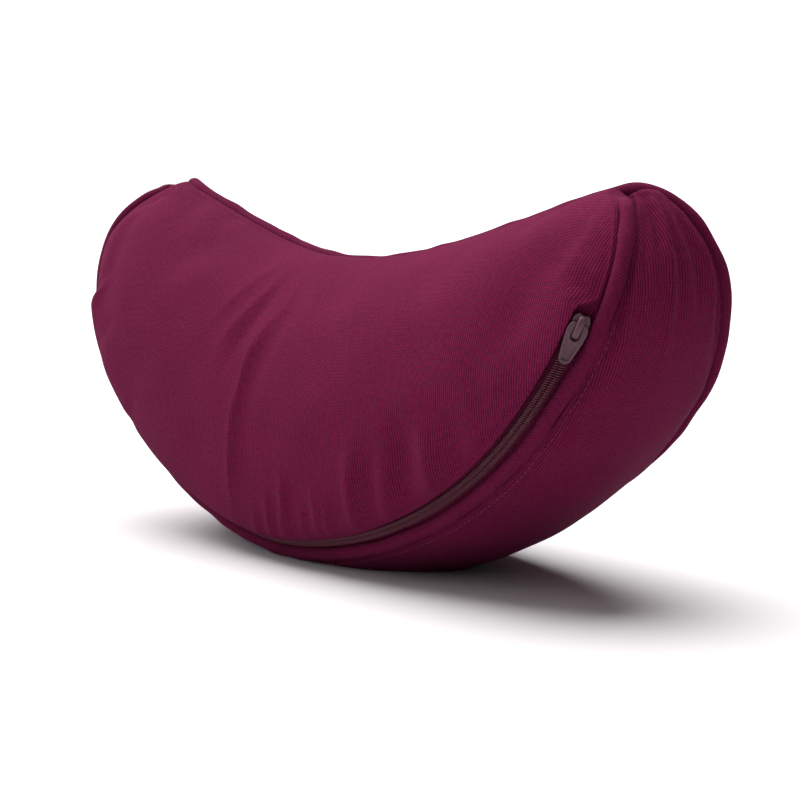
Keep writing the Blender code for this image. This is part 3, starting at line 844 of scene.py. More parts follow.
def build_cover():
    left = closed_tip(sheet[0], -1)[::-1]
    right = closed_tip(sheet[-1], 1)
    rows = np.array(left + list(sheet) + right)
    alongs = np.concatenate((
        np.linspace(-1.0, stations[0], TIP_LOOPS, endpoint=False), stations,
        np.linspace(1.0, stations[-1], TIP_LOOPS, endpoint=False)[::-1]))
    run = loop_lengths(rows)
    cuts = {
        "near": flat_cut(rows, run, FACE_FIRST, FACE_LAST),
        "gusset": gusset_cut(run, alongs),
        "far": flat_cut(rows, run, FAR_FIRST, COLUMNS),
    }
    region = ["near"] * NEAR_GROOVE + ["gusset"] * (FAR_FIRST - NEAR_GROOVE)
    region += ["far"] * (COLUMNS - FAR_FIRST)
    faces = skin_faces(len(rows), COLUMNS)
    corners = np.empty((len(rows) - 1, COLUMNS, 4, 2))
    for j, name in enumerate(region):
        cut = cuts[name]
        corners[:, j, 0], corners[:, j, 1] = cut[:-1, j], cut[:-1, j + 1]
        corners[:, j, 2], corners[:, j, 3] = cut[1:, j + 1], cut[1:, j]
    return rows, faces, corners.reshape(-1, 4, 2)


def end_rings(rows, columns):
    """The first and the last loop of a stack, as faces that close it."""
    last = (rows - 1) * columns
    return [list(range(columns))[::-1], list(range(last, last + columns))]


def signed_volume(points, quads):
    a, b, c, d = (points[quads[:, k]] for k in range(4))
    return (a * np.cross(b, c) + a * np.cross(c, d)).sum()


def make_piece(name, points, quads, corners, caps=()):
    """A smooth mesh with its flat cut as UV map, its faces turned outwards."""
    if signed_volume(points, quads) < 0:
        quads, corners = quads[:, ::-1], corners[:, ::-1]
        caps = [cap[::-1] for cap in caps]
    faces = quads.tolist() + list(caps)
    mesh = bpy.data.meshes.new(name)
    mesh.from_pydata(points.tolist(), [], faces)
    layer = mesh.uv_layers.new(name="weave")
    flat = np.zeros((len(mesh.loops), 2))
    flat[:corners.size // 2] = corners.reshape(-1, 2)
    layer.data.foreach_set("uv", flat.ravel())
    mesh.shade_smooth()
    mesh.update()
    return add_object(name, mesh)


cover_rows, cover_faces, cover_corners = build_cover()
cover = make_piece("cushion_cover", cover_rows.reshape(-1, 3), cover_faces, cover_corners,
                   end_rings(len(cover_rows), COLUMNS))
print("Cover has", len(cover.data.polygons), "faces")

# %% [markdown]
# ## Canvas
# The cloth is a sturdy plain weave. Seen close, each crossing is a small cushion of
# thread: the upright threads are twice as far apart as the level ones, and whichever
# thread lies on top changes like a chessboard. Two sine waves give the threads and
# their product gives the over and under, so a formula makes a weave of any size with no
# picture. It is used twice, as bump and in the colour: painted shade darkens the colour
# between the threads, and painted light brightens the tops of the threads.

# %% Weave
THREAD_ACROSS, THREAD_UP = 0.00138, 0.00072
WEAVE_HEIGHT, THREAD_WANDER = 0.00032, 0.00035
OVER_SHARE, THREAD_TOP = 0.45, 0.7      # how much a thread dives, and the height of its top
FUZZ_SHARE = 0.35                       # of loose fibres in the height


def weave_height(tree, pitch_u, pitch_v, turn=0.0):
    """Height of a plain weave, 0 between threads and about 1 on top of them."""
    place = tree.nodes.new("ShaderNodeUVMap")
    place.uv_map = "weave"
    mapping = tree.nodes.new("ShaderNodeMapping")
    mapping.inputs["Rotation"].default_value[2] = turn
    tree.links.new(place.outputs["UV"], mapping.inputs["Vector"])
    wander = noise(tree, object_place(tree), 260.0, 1.0)
    split = tree.nodes.new("ShaderNodeSeparateXYZ")
    tree.links.new(mapping.outputs["Vector"], split.inputs[0])
    shift = maths(tree, "MULTIPLY", maths(tree, "SUBTRACT", wander, 0.5), THREAD_WANDER)
    u = maths(tree, "ADD", split.outputs[0], shift)
    v = maths(tree, "ADD", split.outputs[1], shift)
    wave_u = maths(tree, "SINE", maths(tree, "MULTIPLY", u, math.pi / pitch_u))
    wave_v = maths(tree, "SINE", maths(tree, "MULTIPLY", v, math.pi / pitch_v))
    over = maths(tree, "MULTIPLY", maths(tree, "MULTIPLY", wave_u, wave_v), OVER_SHARE)
    warp = maths(tree, "ADD", maths(tree, "ABSOLUTE", wave_u), over)
    weft = maths(tree, "SUBTRACT", maths(tree, "ABSOLUTE", wave_v), over)
    top = maths(tree, "MAXIMUM", warp, weft)
    return maths(tree, "MULTIPLY", top, THREAD_TOP), mapping.outputs["Vector"]


def cloth_material(name, colour, pitch_u, pitch_v, turn=0.0, relief_height=WEAVE_HEIGHT,
                   painted_weave_shading=0.75, sheen=0.015, roughness=0.92):
    material, tree, shader = start_material(name, roughness)
    height, flat = weave_height(tree, pitch_u, pitch_v, turn)
    # painted shade darkens the colour between the threads and painted light brightens their tops,
    # following the weave's height
    painted_gap_shade = tuple(v * (1.0 - painted_weave_shading) for v in colour) + (1.0,)
    painted_thread_light = tuple(min(v * (1.0 + 0.5 * painted_weave_shading), 1.0) for v in colour) + (1.0,)
    shaded_threads = mix_colour(tree, rescale(tree, height, 0.35, 1.0, 0.0, 1.0), painted_gap_shade, painted_thread_light)
    slub = noise(tree, flat, 420.0, 3.0, 0.65)
    patch = noise(tree, object_place(tree), 26.0, 3.0, 0.55)
    tone_shift = rescale(tree, slub, 0.3, 0.7, 0.80, 1.20)
    faded = rescale(tree, patch, 0.3, 0.7, 0.95, 1.05)
    strength = maths(tree, "MULTIPLY", tone_shift, faded)
    grey = tree.nodes.new("ShaderNodeCombineColor")
    for socket in grey.inputs:
        tree.links.new(strength, socket)
    finished = mix_colour(tree, 1.0, shaded_threads, grey.outputs[0], "MULTIPLY")
    tree.links.new(finished, shader.inputs["Base Color"])
    fuzz = noise(tree, object_place(tree), 2600.0, 1.0)
    total = maths(tree, "MULTIPLY_ADD", fuzz, FUZZ_SHARE, height)
    add_bump(tree, shader, total, relief_height)
    shader.inputs["Specular IOR Level"].default_value = 0.05
    shader.inputs["Sheen Weight"].default_value = sheen
    shader.inputs["Sheen Roughness"].default_value = 0.45
    shader.inputs["Sheen Tint"].default_value = (0.85, 0.35, 0.55, 1.0)
    return material


canvas = cloth_material("canvas_weave", (0.140, 0.0072, 0.044), THREAD_ACROSS, THREAD_UP)
cover.data.materials.append(canvas)
print("Threads a cm:", [round(0.01 / pitch, 1) for pitch in (THREAD_ACROSS, THREAD_UP)])

# %% [markdown]
# ## Piping
# Piping is a cord wrapped in a strip of the same canvas, cut on the bias so that it
# bends round curves. It shows as a round bead whose threads run diagonally. One length
# goes up the far outer seam, over each tip and back along the inner seam. The other
# edges the gusset beside the zip. Each is a ring of points carried along its seam,
# with a slight hand-sewn wander and the cord's small changes of thickness.

# %% Tubes
PIPING_SIDES, PIPING_STEP, PIPING_WAVES = 20, 0.0018, 6
PIPING_WANDER, PIPING_UNEVEN = 0.00022, 0.00018


def even_path(points, step, ring=False):
    """The same path with points at even steps."""
    if ring:
        points = np.concatenate((points, points[:1]))
    run = run_along(points)
    at = np.linspace(0.0, run[-1], int(run[-1] / step), endpoint=not ring)
    return points_at(points, run, at), at


def tube(path, at, ring, seed):
    """Rings of points round a path that wanders a little and changes its thickness."""
    random = np.random.default_rng(seed)
    phases = random.uniform(0, 6.28, (PIPING_WAVES, 2))
    waves = 2 * math.pi / random.uniform(0.018, 0.070, PIPING_WAVES)
    wander = sum(np.sin(at[:, None] * w + p) for w, p in zip(waves, phases)) / 3
    uneven = sum(np.sin(at * w * 1.7 + p[0]) for w, p in zip(waves, phases)) / 3
    if ring:
        way = np.roll(path, -1, axis=0) - np.roll(path, 1, axis=0)
    else:
        way = np.gradient(path, axis=0)
    way /= np.linalg.norm(way, axis=1)[:, None]
    rings, spin = [], Y_AXIS
    angles = np.linspace(0.0, 2 * math.pi, PIPING_SIDES, endpoint=False)[:, None]
    for point, direction, w, r in zip(path, way, wander, uneven):
        spin = unit(spin - direction * spin.dot(direction))
        side = np.cross(direction, spin)
        middle = point + PIPING_WANDER * (w[0] * spin + w[1] * side)
        radius = PIPING_RADIUS + PIPING_UNEVEN * r
        rings.append(middle + radius * (np.cos(angles) * spin + np.sin(angles) * side))
    return np.array(rings)


def tube_corners(at, total, ring):
    """UV corners of a tube, in metres along and round it."""
    round_it = np.arange(PIPING_SIDES + 1) / PIPING_SIDES * 2 * math.pi * PIPING_RADIUS
    ends = np.concatenate((at, (total,))) if ring else at
    corners = np.empty((len(ends) - 1, PIPING_SIDES, 4, 2))
    corners[..., 0, 0] = corners[..., 1, 0] = ends[:-1, None]
    corners[..., 2, 0] = corners[..., 3, 0] = ends[1:, None]
    corners[..., 0, 1] = corners[..., 3, 1] = round_it[None, :-1]
    corners[..., 1, 1] = corners[..., 2, 1] = round_it[None, 1:]
    return corners.reshape(-1, 4, 2)


def make_tube(name, points, ring, seed):
    path, at = even_path(points, PIPING_STEP, ring)
    rings = tube(path - MIDDLE, at, ring, seed)
    total = at[-1] + at[1] if ring else at[-1]
    piece = make_piece(name, rings.reshape(-1, 3), skin_faces(len(rings), PIPING_SIDES, ring),
                       tube_corners(at, total, ring),
                       () if ring else end_rings(len(rings), PIPING_SIDES))
    piece.data.materials.append(piping_cloth)
    print(name, "is", round(1000 * total), "mm long")
    return piece


# %% Lay the pipings
PATH_POINTS, RIM_PASSES, RIM_SEED, FRONT_SEED = 361, 12, 3, 5
FRONT_END, TUCK_LENGTH = 0.985, 0.05        # the front piping dives under the rim's
RIGHT_TUCK, LEFT_TUCK = 0.0062, 0.0022
BIAS_ACROSS, BIAS_UP = 0.00125, 0.00085
piping_cloth = cloth_material("bias_canvas", (0.120, 0.0064, 0.038), BIAS_ACROSS, BIAS_UP,
                              turn=math.radians(45), painted_weave_shading=0.5)
places = np.linspace(-1.0, 1.0, PATH_POINTS)
far_path = [outer_seam(a, 1) for a in places]
inner_path = [inner_seam(a) for a in places[::-1][1:-1]]
rim_path = smooth_path(np.array(far_path + inner_path), RIM_PASSES, True)
front_places = np.linspace(-FRONT_END, FRONT_END, PATH_POINTS)
tuck = smooth_step((np.abs(front_places) - (FRONT_END - TUCK_LENGTH)) / TUCK_LENGTH)
tuck *= np.where(front_places > 0, RIGHT_TUCK, LEFT_TUCK)
front_path = np.array([outer_seam(a, -1) for a in front_places]) - np.outer(tuck, (0, 0, 1))
rim_piping = make_tube("rim_piping", rim_path, True, RIM_SEED)
front_piping = make_tube("front_piping", front_path, False, FRONT_SEED)

# %% [markdown]
# ## Zip tape
# A coil zip is woven tape with a nylon coil sewn to each edge. Only a narrow band of it
# shows, sunk in the channel between the face and the piping. The band is a thin strip
# with a slight crown, and its cloth is ribbed along the length.

# %% Zip frame and tape
TAPE_WIDTH, TAPE_THICK, TAPE_LIFT = 0.0082, 0.0008, 0.0003
TAPE_LOOPS, TAPE_POINTS, TAPE_CROWN, TAPE_SHORT = 260, 13, 0.35, 0.004
CHAIN_THICK, PIECE_GAP, SLIDER_LENGTH = 0.0018, 0.0003, 0.0125


def zip_frame(along):
    """Middle of the channel's floor, its way out, across and along the seam."""
    near, out, across, _ = seam_frame(along, -1)
    floor = near + (PIPING_RADIUS + FIT_GAP + CHANNEL_WIDTH / 2) * across - CHANNEL_DEPTH * out
    return floor - MIDDLE, out, across, np.cross(across, out)


def along_from_right(length):
    return 1.0 - length / RIGHT_SEAM


def along_from_left(length):
    return length / LEFT_SEAM - 1.0


def tape_loop(along):
    """Cross-section of the tape: its crowned top, then its flat underside."""
    floor, out, across, _ = zip_frame(along)
    shares = np.linspace(-1.0, 1.0, TAPE_POINTS)[:, None]
    top = TAPE_LIFT + TAPE_THICK * (1.0 - TAPE_CROWN * shares ** 4)
    upper = floor + shares * TAPE_WIDTH / 2 * across + top * out
    lower = floor + shares[::-1] * TAPE_WIDTH / 2 * across + TAPE_LIFT * out
    return np.concatenate((upper, lower))


def make_tape():
    alongs = np.linspace(along_from_left(ZIP_END + TAPE_SHORT), along_from_right(ZIP_START),
                         TAPE_LOOPS)
    loops = np.array([tape_loop(along) for along in alongs])
    columns = loops.shape[1]
    run = loop_lengths(loops)
    cut = np.stack((run, np.repeat((alongs * RIGHT_SEAM)[:, None], columns + 1, axis=1)), axis=2)
    corners = np.stack((cut[:-1, :-1], cut[:-1, 1:], cut[1:, 1:], cut[1:, :-1]), axis=2)
    return make_piece("zipper_tape", loops.reshape(-1, 3), skin_faces(len(loops), columns),
                      corners.reshape(-1, 4, 2), end_rings(len(loops), columns))


tape = make_tape()
tape.data.materials.append(cloth_material(
    "ribbed_tape", (0.085, 0.008, 0.026), 0.0011, 0.0005, relief_height=0.00012, painted_weave_shading=0.5,
    sheen=0.1, roughness=0.8))
print("Tape has", len(tape.data.polygons), "faces")

# %% [markdown]
# ## Coils
# The teeth of this zip are two nylon coils, sewn side by side, whose turns hook into
# each other. Hundreds of equal turns along a curved path are work for Geometry Nodes:
# the tree walks along the zip's middle line at the pitch of the coil, puts a pair of
# flattened rings at each step, turned with the seam, and makes them real. Each ring has
# only 32 faces, because nobody sees more.

# %% Geometry Nodes helpers


def new_tree(name, sizes):
    """An empty Geometry Nodes tree with a named input for each size."""
    tree = bpy.data.node_groups.new(name, "GeometryNodeTree")
    tree.interface.new_socket("Geometry", in_out="INPUT", socket_type="NodeSocketGeometry")
    for label, value in sizes.items():
        socket = tree.interface.new_socket(label, in_out="INPUT", socket_type="NodeSocketFloat")
        socket.default_value = value
    tree.interface.new_socket("Material", in_out="INPUT", socket_type="NodeSocketMaterial")
    tree.interface.new_socket("Geometry", in_out="OUTPUT", socket_type="NodeSocketGeometry")
    return tree, tree.nodes.new("NodeGroupInput"), tree.nodes.new("NodeGroupOutput")


def node(tree, kind, links=(), **values):
    """Add a node, link (input, socket) pairs and set its properties."""
    made = tree.nodes.new(kind)
    for key, value in values.items():
        setattr(made, key, value)
    for name, value in links:
        wire(tree, made.inputs[name], value)
    return made


def vector_of(tree, x=0.0, y=0.0, z=0.0):
    return node(tree, "ShaderNodeCombineXYZ", (("X", x), ("Y", y), ("Z", z))).outputs[0]


def place_item(tree, item, change, value):
    """Turn, scale or move an item; change is Rotation, Scale or Translation."""
    return node(tree, "GeometryNodeTransform", (("Geometry", item), (change, value))).outputs[0]


def walk_path(tree, given, step):
    """Points at even steps along the path, and the turn that lays an item on each."""
    curve = node(tree, "GeometryNodeMeshToCurve", (("Mesh", given),))
    walked = node(tree, "GeometryNodeResampleCurve", (
        ("Curve", curve.outputs[0]), ("Length", step)), mode="LENGTH")
    outward = node(tree, "GeometryNodeInputNamedAttribute", (("Name", "outward"),),
                   data_type="FLOAT_VECTOR")
    way = node(tree, "GeometryNodeInputTangent")
    turn = node(tree, "FunctionNodeAxesToRotation", (
        ("Primary Axis", way.outputs[0]), ("Secondary Axis", outward.outputs["Attribute"])),
        primary_axis="X", secondary_axis="Z")
    return walked.outputs[0], turn.outputs[0]


def finish_tree(tree, out, points, turn, item, material):
    placed = node(tree, "GeometryNodeInstanceOnPoints", (
        ("Points", points), ("Instance", item), ("Rotation", turn)))
    real = node(tree, "GeometryNodeRealizeInstances", (("Geometry", placed.outputs[0]),))
    smooth = node(tree, "GeometryNodeSetShadeSmooth", (("Geometry", real.outputs[0]),))
    painted = node(tree, "GeometryNodeSetMaterial", (
        ("Geometry", smooth.outputs[0]), ("Material", material)))
    tree.links.new(painted.outputs[0], out.inputs[0])


def path_object(name, points, outward):
    mesh = bpy.data.meshes.new(name)
    mesh.from_pydata([tuple(p) for p in points], [(i, i + 1) for i in range(len(points) - 1)], [])
    layer = mesh.attributes.new("outward", "FLOAT_VECTOR", "POINT")
    layer.data.foreach_set("vector", np.asarray(outward, dtype=np.float32).ravel())
    return add_object(name, mesh)


def keep_result(piece):
    """Keep what the modifiers make as the piece's own plain mesh."""
    done = piece.evaluated_get(bpy.context.evaluated_depsgraph_get())
    mesh = bpy.data.meshes.new_from_object(done)
    piece.modifiers.clear()
    piece.data = mesh


def run_tree(piece, tree, sizes, material):
    """Run the tree on a piece and keep the result as a plain mesh."""
    modifier = piece.modifiers.new(tree.name, "NODES")
    modifier.node_group = tree
    named = {item.name: item.identifier for item in tree.interface.items_tree
             if item.in_out == "INPUT"}
    for label, value in sizes.items():
        modifier[named[label]] = value
    modifier[named["Material"]] = material
    keep_result(piece)
    piece.data.name = piece.name
    print(piece.name, "has", len(piece.data.polygons), "faces")


# %% Coil tree
COIL_SIZES = {"Pitch": 0.00125, "Row Width": 0.0027, "Row Offset": 0.00142, "Height": 0.00062,
              "Wire": 0.00036}
COIL_LEAN, COIL_POINTS, WIRE_POINTS = math.radians(14), 8, 4
STAND_UP = (math.pi / 2, 0.0, math.pi / 2)


def coil_tree():
    tree, given, out = new_tree("coil_rows", COIL_SIZES)
    size = given.outputs
    circle = node(tree, "GeometryNodeCurvePrimitiveCircle", (
        ("Resolution", COIL_POINTS), ("Radius", 1.0)))
    section = node(tree, "GeometryNodeCurvePrimitiveCircle", (
        ("Resolution", WIRE_POINTS), ("Radius", size["Wire"])))
    half = maths(tree, "MULTIPLY", size["Row Width"], 0.5)
    stand = place_item(tree, circle.outputs[0], "Rotation", STAND_UP)
    flat = place_item(tree, stand, "Scale", vector_of(tree, 1.0, half, size["Height"]))
    lean = place_item(tree, flat, "Rotation", (0.0, 0.0, COIL_LEAN))
    ring = node(tree, "GeometryNodeCurveToMesh", (
        ("Curve", lean), ("Profile Curve", section.outputs[0]))).outputs[0]
    back = maths(tree, "MULTIPLY", size["Row Offset"], -1.0)
    step = maths(tree, "MULTIPLY", size["Pitch"], 0.5)
    pair = node(tree, "GeometryNodeJoinGeometry")
    for place in (vector_of(tree, 0.0, size["Row Offset"]), vector_of(tree, step, back)):
        tree.links.new(place_item(tree, ring, "Translation", place), pair.inputs[0])
    points, turn = walk_path(tree, given.outputs["Geometry"], size["Pitch"])
    finish_tree(tree, out, points, turn, pair.outputs[0], size["Material"])
    return tree


# %% Lay the coils
CHAIN_FIRST = along_from_left(ZIP_END + 0.005)
CHAIN_LAST = along_from_right(ZIP_START + SLIDER_LENGTH - 0.002)    # 2 mm under the slider
CHAIN_MIDDLE = TAPE_LIFT + TAPE_THICK + PIECE_GAP + CHAIN_THICK / 2
CHAIN_POINTS = 400


def zip_path(first, last, lift):
    frames = [zip_frame(along) for along in np.linspace(first, last, CHAIN_POINTS)]
    return [floor + lift * out for floor, out, _, _ in frames], [out for _, out, _, _ in frames]


def nylon_material():
    material, tree, shader = start_material("coil_nylon", 0.42)
    tone = noise(tree, object_place(tree), 900.0)
    colour = mix_colour(tree, tone, (0.070, 0.0075, 0.020, 1.0), (0.145, 0.020, 0.046, 1.0))
    tree.links.new(colour, shader.inputs["Base Color"])
    add_bump(tree, shader, tone, 0.00004)
    return material


coils = path_object("zipper_coils", *zip_path(CHAIN_FIRST, CHAIN_LAST, CHAIN_MIDDLE))
run_tree(coils, coil_tree(), COIL_SIZES, nylon_material())

# %% [markdown]
# ## Stitches
# One line of canvas-coloured topstitching runs along the gusset beside the zip. A
# stitch is a short bead of thread that is fat in the middle and dives into the cloth at
# both ends. The same kind of tree lays them end to end.

# %% Stitch tree
STITCH_SIZES = {"Length": 0.0027, "Gap": 0.0008, "Thickness": 0.00042}


def stitch_tree():
    tree, given, out = new_tree("stitch_row", STITCH_SIZES)
    size = given.outputs
    bead = node(tree, "GeometryNodeMeshUVSphere", (
        ("Segments", 6), ("Rings", 5), ("Radius", 0.5))).outputs[0]
    turned = place_item(tree, bead, "Rotation", (0.0, math.pi / 2, 0.0))
    shaped = place_item(tree, turned, "Scale", vector_of(
        tree, size["Length"], size["Thickness"], size["Thickness"]))
    step = maths(tree, "ADD", size["Length"], size["Gap"])
    points, turn = walk_path(tree, given.outputs["Geometry"], step)
    finish_tree(tree, out, points, turn, shaped, size["Material"])
    return tree


def thread_material(name, colour):
    material, tree, shader = start_material(name, 0.6)
    twist = noise(tree, object_place(tree), 1800.0)
    dark = tuple(0.65 * v for v in colour) + (1.0,)
    tree.links.new(mix_colour(tree, twist, dark, (*colour, 1.0)), shader.inputs["Base Color"])
    return material


# %% Lay the stitches
STITCH_COLUMN = GUSSET_FIRST + 3        # column of the cover on which they lie
STITCH_LIFT = 0.0001
sewn = np.flatnonzero((stations > CHAIN_FIRST) & (stations < along_from_right(ZIP_START)))
outward = sheet_normals(sheet)[sewn, STITCH_COLUMN]
topstitch = path_object("gusset_topstitch", sheet[sewn, STITCH_COLUMN] + STITCH_LIFT * outward,
                        outward)
run_tree(topstitch, stitch_tree(), STITCH_SIZES,
         thread_material("canvas_thread", (0.13, 0.009, 0.042)))

# %% [markdown]
# ## Slider and puller
# The slider is a small metal casting with a crown, the bridge that carries the puller.
# The puller is a forked plate whose slot stands round the crown, and it narrows to a
# rounded tail. Its panel is sunk and left bare. Both are built from outlines drawn in
# the zip's own directions, given a thickness and rounded edges, and then carried to
# their place, which keeps every size in millimetres.

# %% Metal parts in the zip's directions
SLIDER_WIDTH, SLIDER_THICK = 0.0083, 0.0030
CROWN_LENGTH, CROWN_WIDTH, CROWN_RISE, CROWN_THICK = 0.0112, 0.0033, 0.0042, 0.0018
PULLER_LENGTH, PULLER_WIDE, PULLER_NARROW, PULLER_THICK = 0.0195, 0.0096, 0.0056, 0.0018
PULLER_SLOT_WIDTH, PULLER_SLOT_LENGTH, FORK_PAST_MIDDLE = 0.0044, 0.0084, 0.0020
SLIDER_LOW = TAPE_LIFT + TAPE_THICK + PIECE_GAP
SLIDER_TOP = SLIDER_LOW + SLIDER_THICK
CORNER_POINTS, EDGE_SEGMENTS, EDGE_PROFILE = 4, 3, 0.6


def slider_matrix():
    """From the slider's own axes (up the seam, across, out) to the world."""
    along = along_from_right(ZIP_START + SLIDER_LENGTH / 2)
    origin, out, across, way = zip_frame(along)
    uphill = outer_seam(along + 0.01, -1) - outer_seam(along - 0.01, -1)
    if way.dot(uphill) < 0:
        way = -way
    turn = Matrix((Vector(way), Vector(across), Vector(out))).transposed().to_4x4()
    return Matrix.Translation(Vector(origin)) @ turn


def both_sides(points, between=()):
    """An outline from its one half: the half, what lies on the middle, and the mirrored half."""
    return points + list(between) + [(x, -y) for x, y in reversed(points)]


def rounded_outline(points, radius):
    """An outline with its corners cut round."""
    points = [np.array(p, float) for p in points]
    result = []
    for i, corner in enumerate(points):
        a, b = points[i - 1], points[(i + 1) % len(points)]
        reach = min(radius, 0.45 * np.linalg.norm(a - corner), 0.45 * np.linalg.norm(b - corner))
        result.extend(rounded_corner(a, corner, b, reach, CORNER_POINTS))
    return result


def plate(bm, outline, low, high, edge):
    """A flat plate with rounded edges, from an outline seen from outside."""
    lower = [bm.verts.new((p[0], p[1], low)) for p in outline]
    bottom = bm.faces.new(lower[::-1])
    grown = bmesh.ops.extrude_face_region(bm, geom=[bottom])["geom"]
    raised = [v for v in grown if isinstance(v, bmesh.types.BMVert)]
    bmesh.ops.translate(bm, verts=raised, vec=(0.0, 0.0, high - low))
    top = [f for f in grown if isinstance(f, bmesh.types.BMFace)]
    rims = {e for f in top + [bottom] for e in f.edges}
    bmesh.ops.bevel(bm, geom=list(rims), offset=edge, segments=EDGE_SEGMENTS,
                    profile=EDGE_PROFILE, affect="EDGES", clamp_overlap=True)


def metal_piece(name, bm):
    bmesh.ops.recalc_face_normals(bm, faces=bm.faces[:])
    mesh = bpy.data.meshes.new(name)
    bm.to_mesh(mesh)
    bm.free()
    place = slider_matrix()
    mesh.transform(place)
    if place.determinant() < 0:
        mesh.flip_normals()
    mesh.shade_smooth()
    return add_object(name, mesh)


# %% Crown
CROWN_STEPS, CROWN_SIDES, CROWN_SINK = 26, 14, 0.0008       # sink: how deep its feet stand
CROWN_SQUARE, CROWN_SECTION = 0.55, 0.7     # below 1, an arch or a section gets squarer


def crown_path():
    """Middle line of the crown, along the slider and out of it."""
    points = []
    for i in range(CROWN_STEPS + 1):
        a = math.pi * i / CROWN_STEPS
        rise = max(math.sin(a), 0.0) ** CROWN_SQUARE * (CROWN_RISE - CROWN_THICK / 2)
        points.append((-math.cos(a) * (CROWN_LENGTH - CROWN_THICK) / 2,
                       SLIDER_TOP - CROWN_SINK + rise))
    return points


def squarish(value, size):
    return math.copysign(abs(value) ** CROWN_SECTION, value) * size / 2


def add_crown(bm):
    path, loops = crown_path(), []
    for i, (x, z) in enumerate(path):
        before, after = path[max(i - 1, 0)], path[min(i + 1, CROWN_STEPS)]
        run, rise = after[0] - before[0], after[1] - before[1]
        size = math.hypot(run, rise)
        loop = []
        for k in range(CROWN_SIDES):
            b = 2 * math.pi * k / CROWN_SIDES
            thick = squarish(math.sin(b), CROWN_THICK)
            loop.append(bm.verts.new((x - rise / size * thick, squarish(math.cos(b), CROWN_WIDTH),
                                      z + run / size * thick)))
        loops.append(loop)
    for a, b in zip(loops, loops[1:]):
        for k in range(CROWN_SIDES):
            after = (k + 1) % CROWN_SIDES
            bm.faces.new((a[k], a[after], b[after], b[k]))
    bm.faces.new(loops[0][::-1])
    bm.faces.new(loops[-1])


# %% Slider
SHIELD_CORNER, SHIELD_THICK, SHIELD_EDGE = 0.0010, 0.0011, 0.00035
SOLE_THICK, SOLE_EDGE, FLANGE_EDGE = 0.0006, 0.0002, 0.00012


def make_slider():
    bm = bmesh.new()
    half, wide = SLIDER_LENGTH / 2, SLIDER_WIDTH / 2
    shield = rounded_outline(both_sides(
        [(-half, -0.62 * wide), (-half + 0.003, -0.78 * wide), (0.0, -wide),
         (half - 0.0025, -wide), (half, -0.62 * wide)], [(half - 0.0008, 0.0)]), SHIELD_CORNER)
    plate(bm, shield, SLIDER_TOP - SHIELD_THICK, SLIDER_TOP, SHIELD_EDGE)
    plate(bm, shield, SLIDER_LOW, SLIDER_LOW + SOLE_THICK, SOLE_EDGE)
    for side in (-1, 1):
        flange = [(-half, 0.50 * wide), (-half + 0.003, 0.66 * wide), (0.0, 0.88 * wide),
                  (half - 0.003, 0.88 * wide), (half - 0.0026, wide), (0.0, wide),
                  (-half + 0.003, 0.78 * wide), (-half, 0.62 * wide)]
        plate(bm, [(x, side * y) for x, y in flange], SLIDER_LOW + 0.0002, SLIDER_TOP - 0.0004,
              FLANGE_EDGE)
    add_crown(bm)
    return metal_piece("slider_body", bm)


slider = make_slider()
print("Slider has", len(slider.data.polygons), "faces")

# %% Puller
PULLER_LOW = SLIDER_TOP + PIECE_GAP
PULLER_TOP = PULLER_LOW + PULLER_THICK
FORK, TAIL = FORK_PAST_MIDDLE, FORK_PAST_MIDDLE - PULLER_LENGTH     # its two ends
PULLER_CORNER, PULLER_EDGE, BEND_STEPS = 0.0010, 0.0004, 10
PANEL_CORNER, PANEL_EDGE, PANEL_DEPTH = 0.0006, 0.0002, 0.00055
PANEL_HEAD, PANEL_FOOT, PANEL_CLEAR = 0.0026, 0.0017, 0.001         # half widths, and room above


def puller_outline():
    """Round the tail and both prongs, then round the slot's end between them."""
    wide, narrow, slot = PULLER_WIDE / 2, PULLER_NARROW / 2, PULLER_SLOT_WIDTH / 2
    slot_end = FORK - PULLER_SLOT_LENGTH
    outline = rounded_outline(both_sides(
        [(FORK, slot), (FORK - 0.0002, wide - 0.0012), (FORK - 0.0016, wide - 0.0003),
         (FORK - 0.0045, wide), (slot_end, wide - 0.0004), (TAIL + 0.0016, narrow),
         (TAIL, narrow - 0.0014)]), PULLER_CORNER)
    for i in range(BEND_STEPS + 1):
        a = -math.pi / 2 - math.pi * i / BEND_STEPS
        outline.append((slot_end + slot + slot * math.cos(a), slot * math.sin(a)))
    return outline


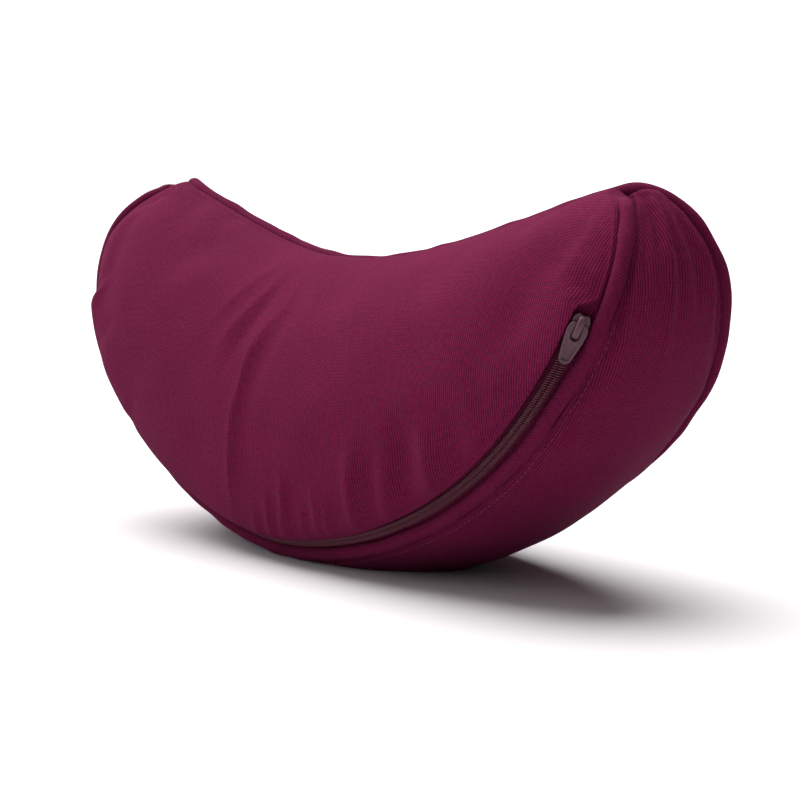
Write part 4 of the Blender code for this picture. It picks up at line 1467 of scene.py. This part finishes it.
def make_puller():
    bm = bmesh.new()
    plate(bm, puller_outline(), PULLER_LOW, PULLER_TOP, PULLER_EDGE)
    piece = metal_piece("puller_tab", bm)
    cutter = bmesh.new()
    head, foot = FORK - PULLER_SLOT_LENGTH - 0.0014, TAIL + 0.0018
    panel = [(head, -PANEL_HEAD), (head, PANEL_HEAD), (foot, PANEL_FOOT), (foot, -PANEL_FOOT)]
    plate(cutter, rounded_outline(panel, PANEL_CORNER), PULLER_TOP - PANEL_DEPTH,
          PULLER_TOP + PANEL_CLEAR, PANEL_EDGE)
    tool = metal_piece("puller_panel", cutter)
    cut = piece.modifiers.new("panel", "BOOLEAN")
    cut.operation = "DIFFERENCE"
    cut.solver = "EXACT"
    cut.object = tool
    keep_result(piece)
    bpy.data.objects.remove(tool, do_unlink=True)
    return piece


puller = make_puller()
print("Puller has", len(puller.data.polygons), "faces")

# %% [markdown]
# ## Painted metal
# Slider and puller are die cast and sprayed a dusty mauve to go with the canvas. The
# paint has a soft satin gloss, fine orange-peel texture, and its colour turns a little
# lighter on its sharp edges, which the Pointiness of the geometry finds.

# %% Metal paint


def painted_metal():
    material, tree, shader = start_material("mauve_paint", 0.55)
    geometry = tree.nodes.new("ShaderNodeNewGeometry")
    # the colour turns a lighter mauve on the sharp edges, where Pointiness is high
    tone_shift = rescale(tree, geometry.outputs["Pointiness"], 0.53, 0.62, 0.0, 1.0)
    spots = noise(tree, object_place(tree), 700.0, 3.0)
    base = mix_colour(tree, spots, (0.052, 0.012, 0.025, 1.0), (0.078, 0.021, 0.040, 1.0))
    tree.links.new(mix_colour(tree, tone_shift, base, (0.150, 0.055, 0.085, 1.0)),
                   shader.inputs["Base Color"])
    add_bump(tree, shader, noise(tree, object_place(tree), 1500.0), 0.00003)
    return material


paint = painted_metal()
for piece in (slider, puller):
    piece.data.materials.clear()
    piece.data.materials.append(paint)
print("Metal is painted")

# %% [markdown]
# ## Pieces on the body
# Each piece rides on the one body of the part, and the CAD node that it replaces is
# hidden.

# %% Bodies, nodes and slots
PIECES = (
    # piece, CAD node it replaces, material slot
    (cover, "cushion_body", "canvas"),
    (rim_piping, "piping_rim", "piping"),
    (front_piping, "piping_front", "piping"),
    (tape, "zip_tape", "zip_tape"),
    (coils, "zip_chain", "zip_coil"),
    (topstitch, None, "canvas"),
    (slider, "zip_slider", "puller_metal"),
    (puller, "zip_puller", "puller_metal"),
)
for piece, replaced, slot in PIECES:
    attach(piece, "root")
    if replaced:
        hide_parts(replaced)
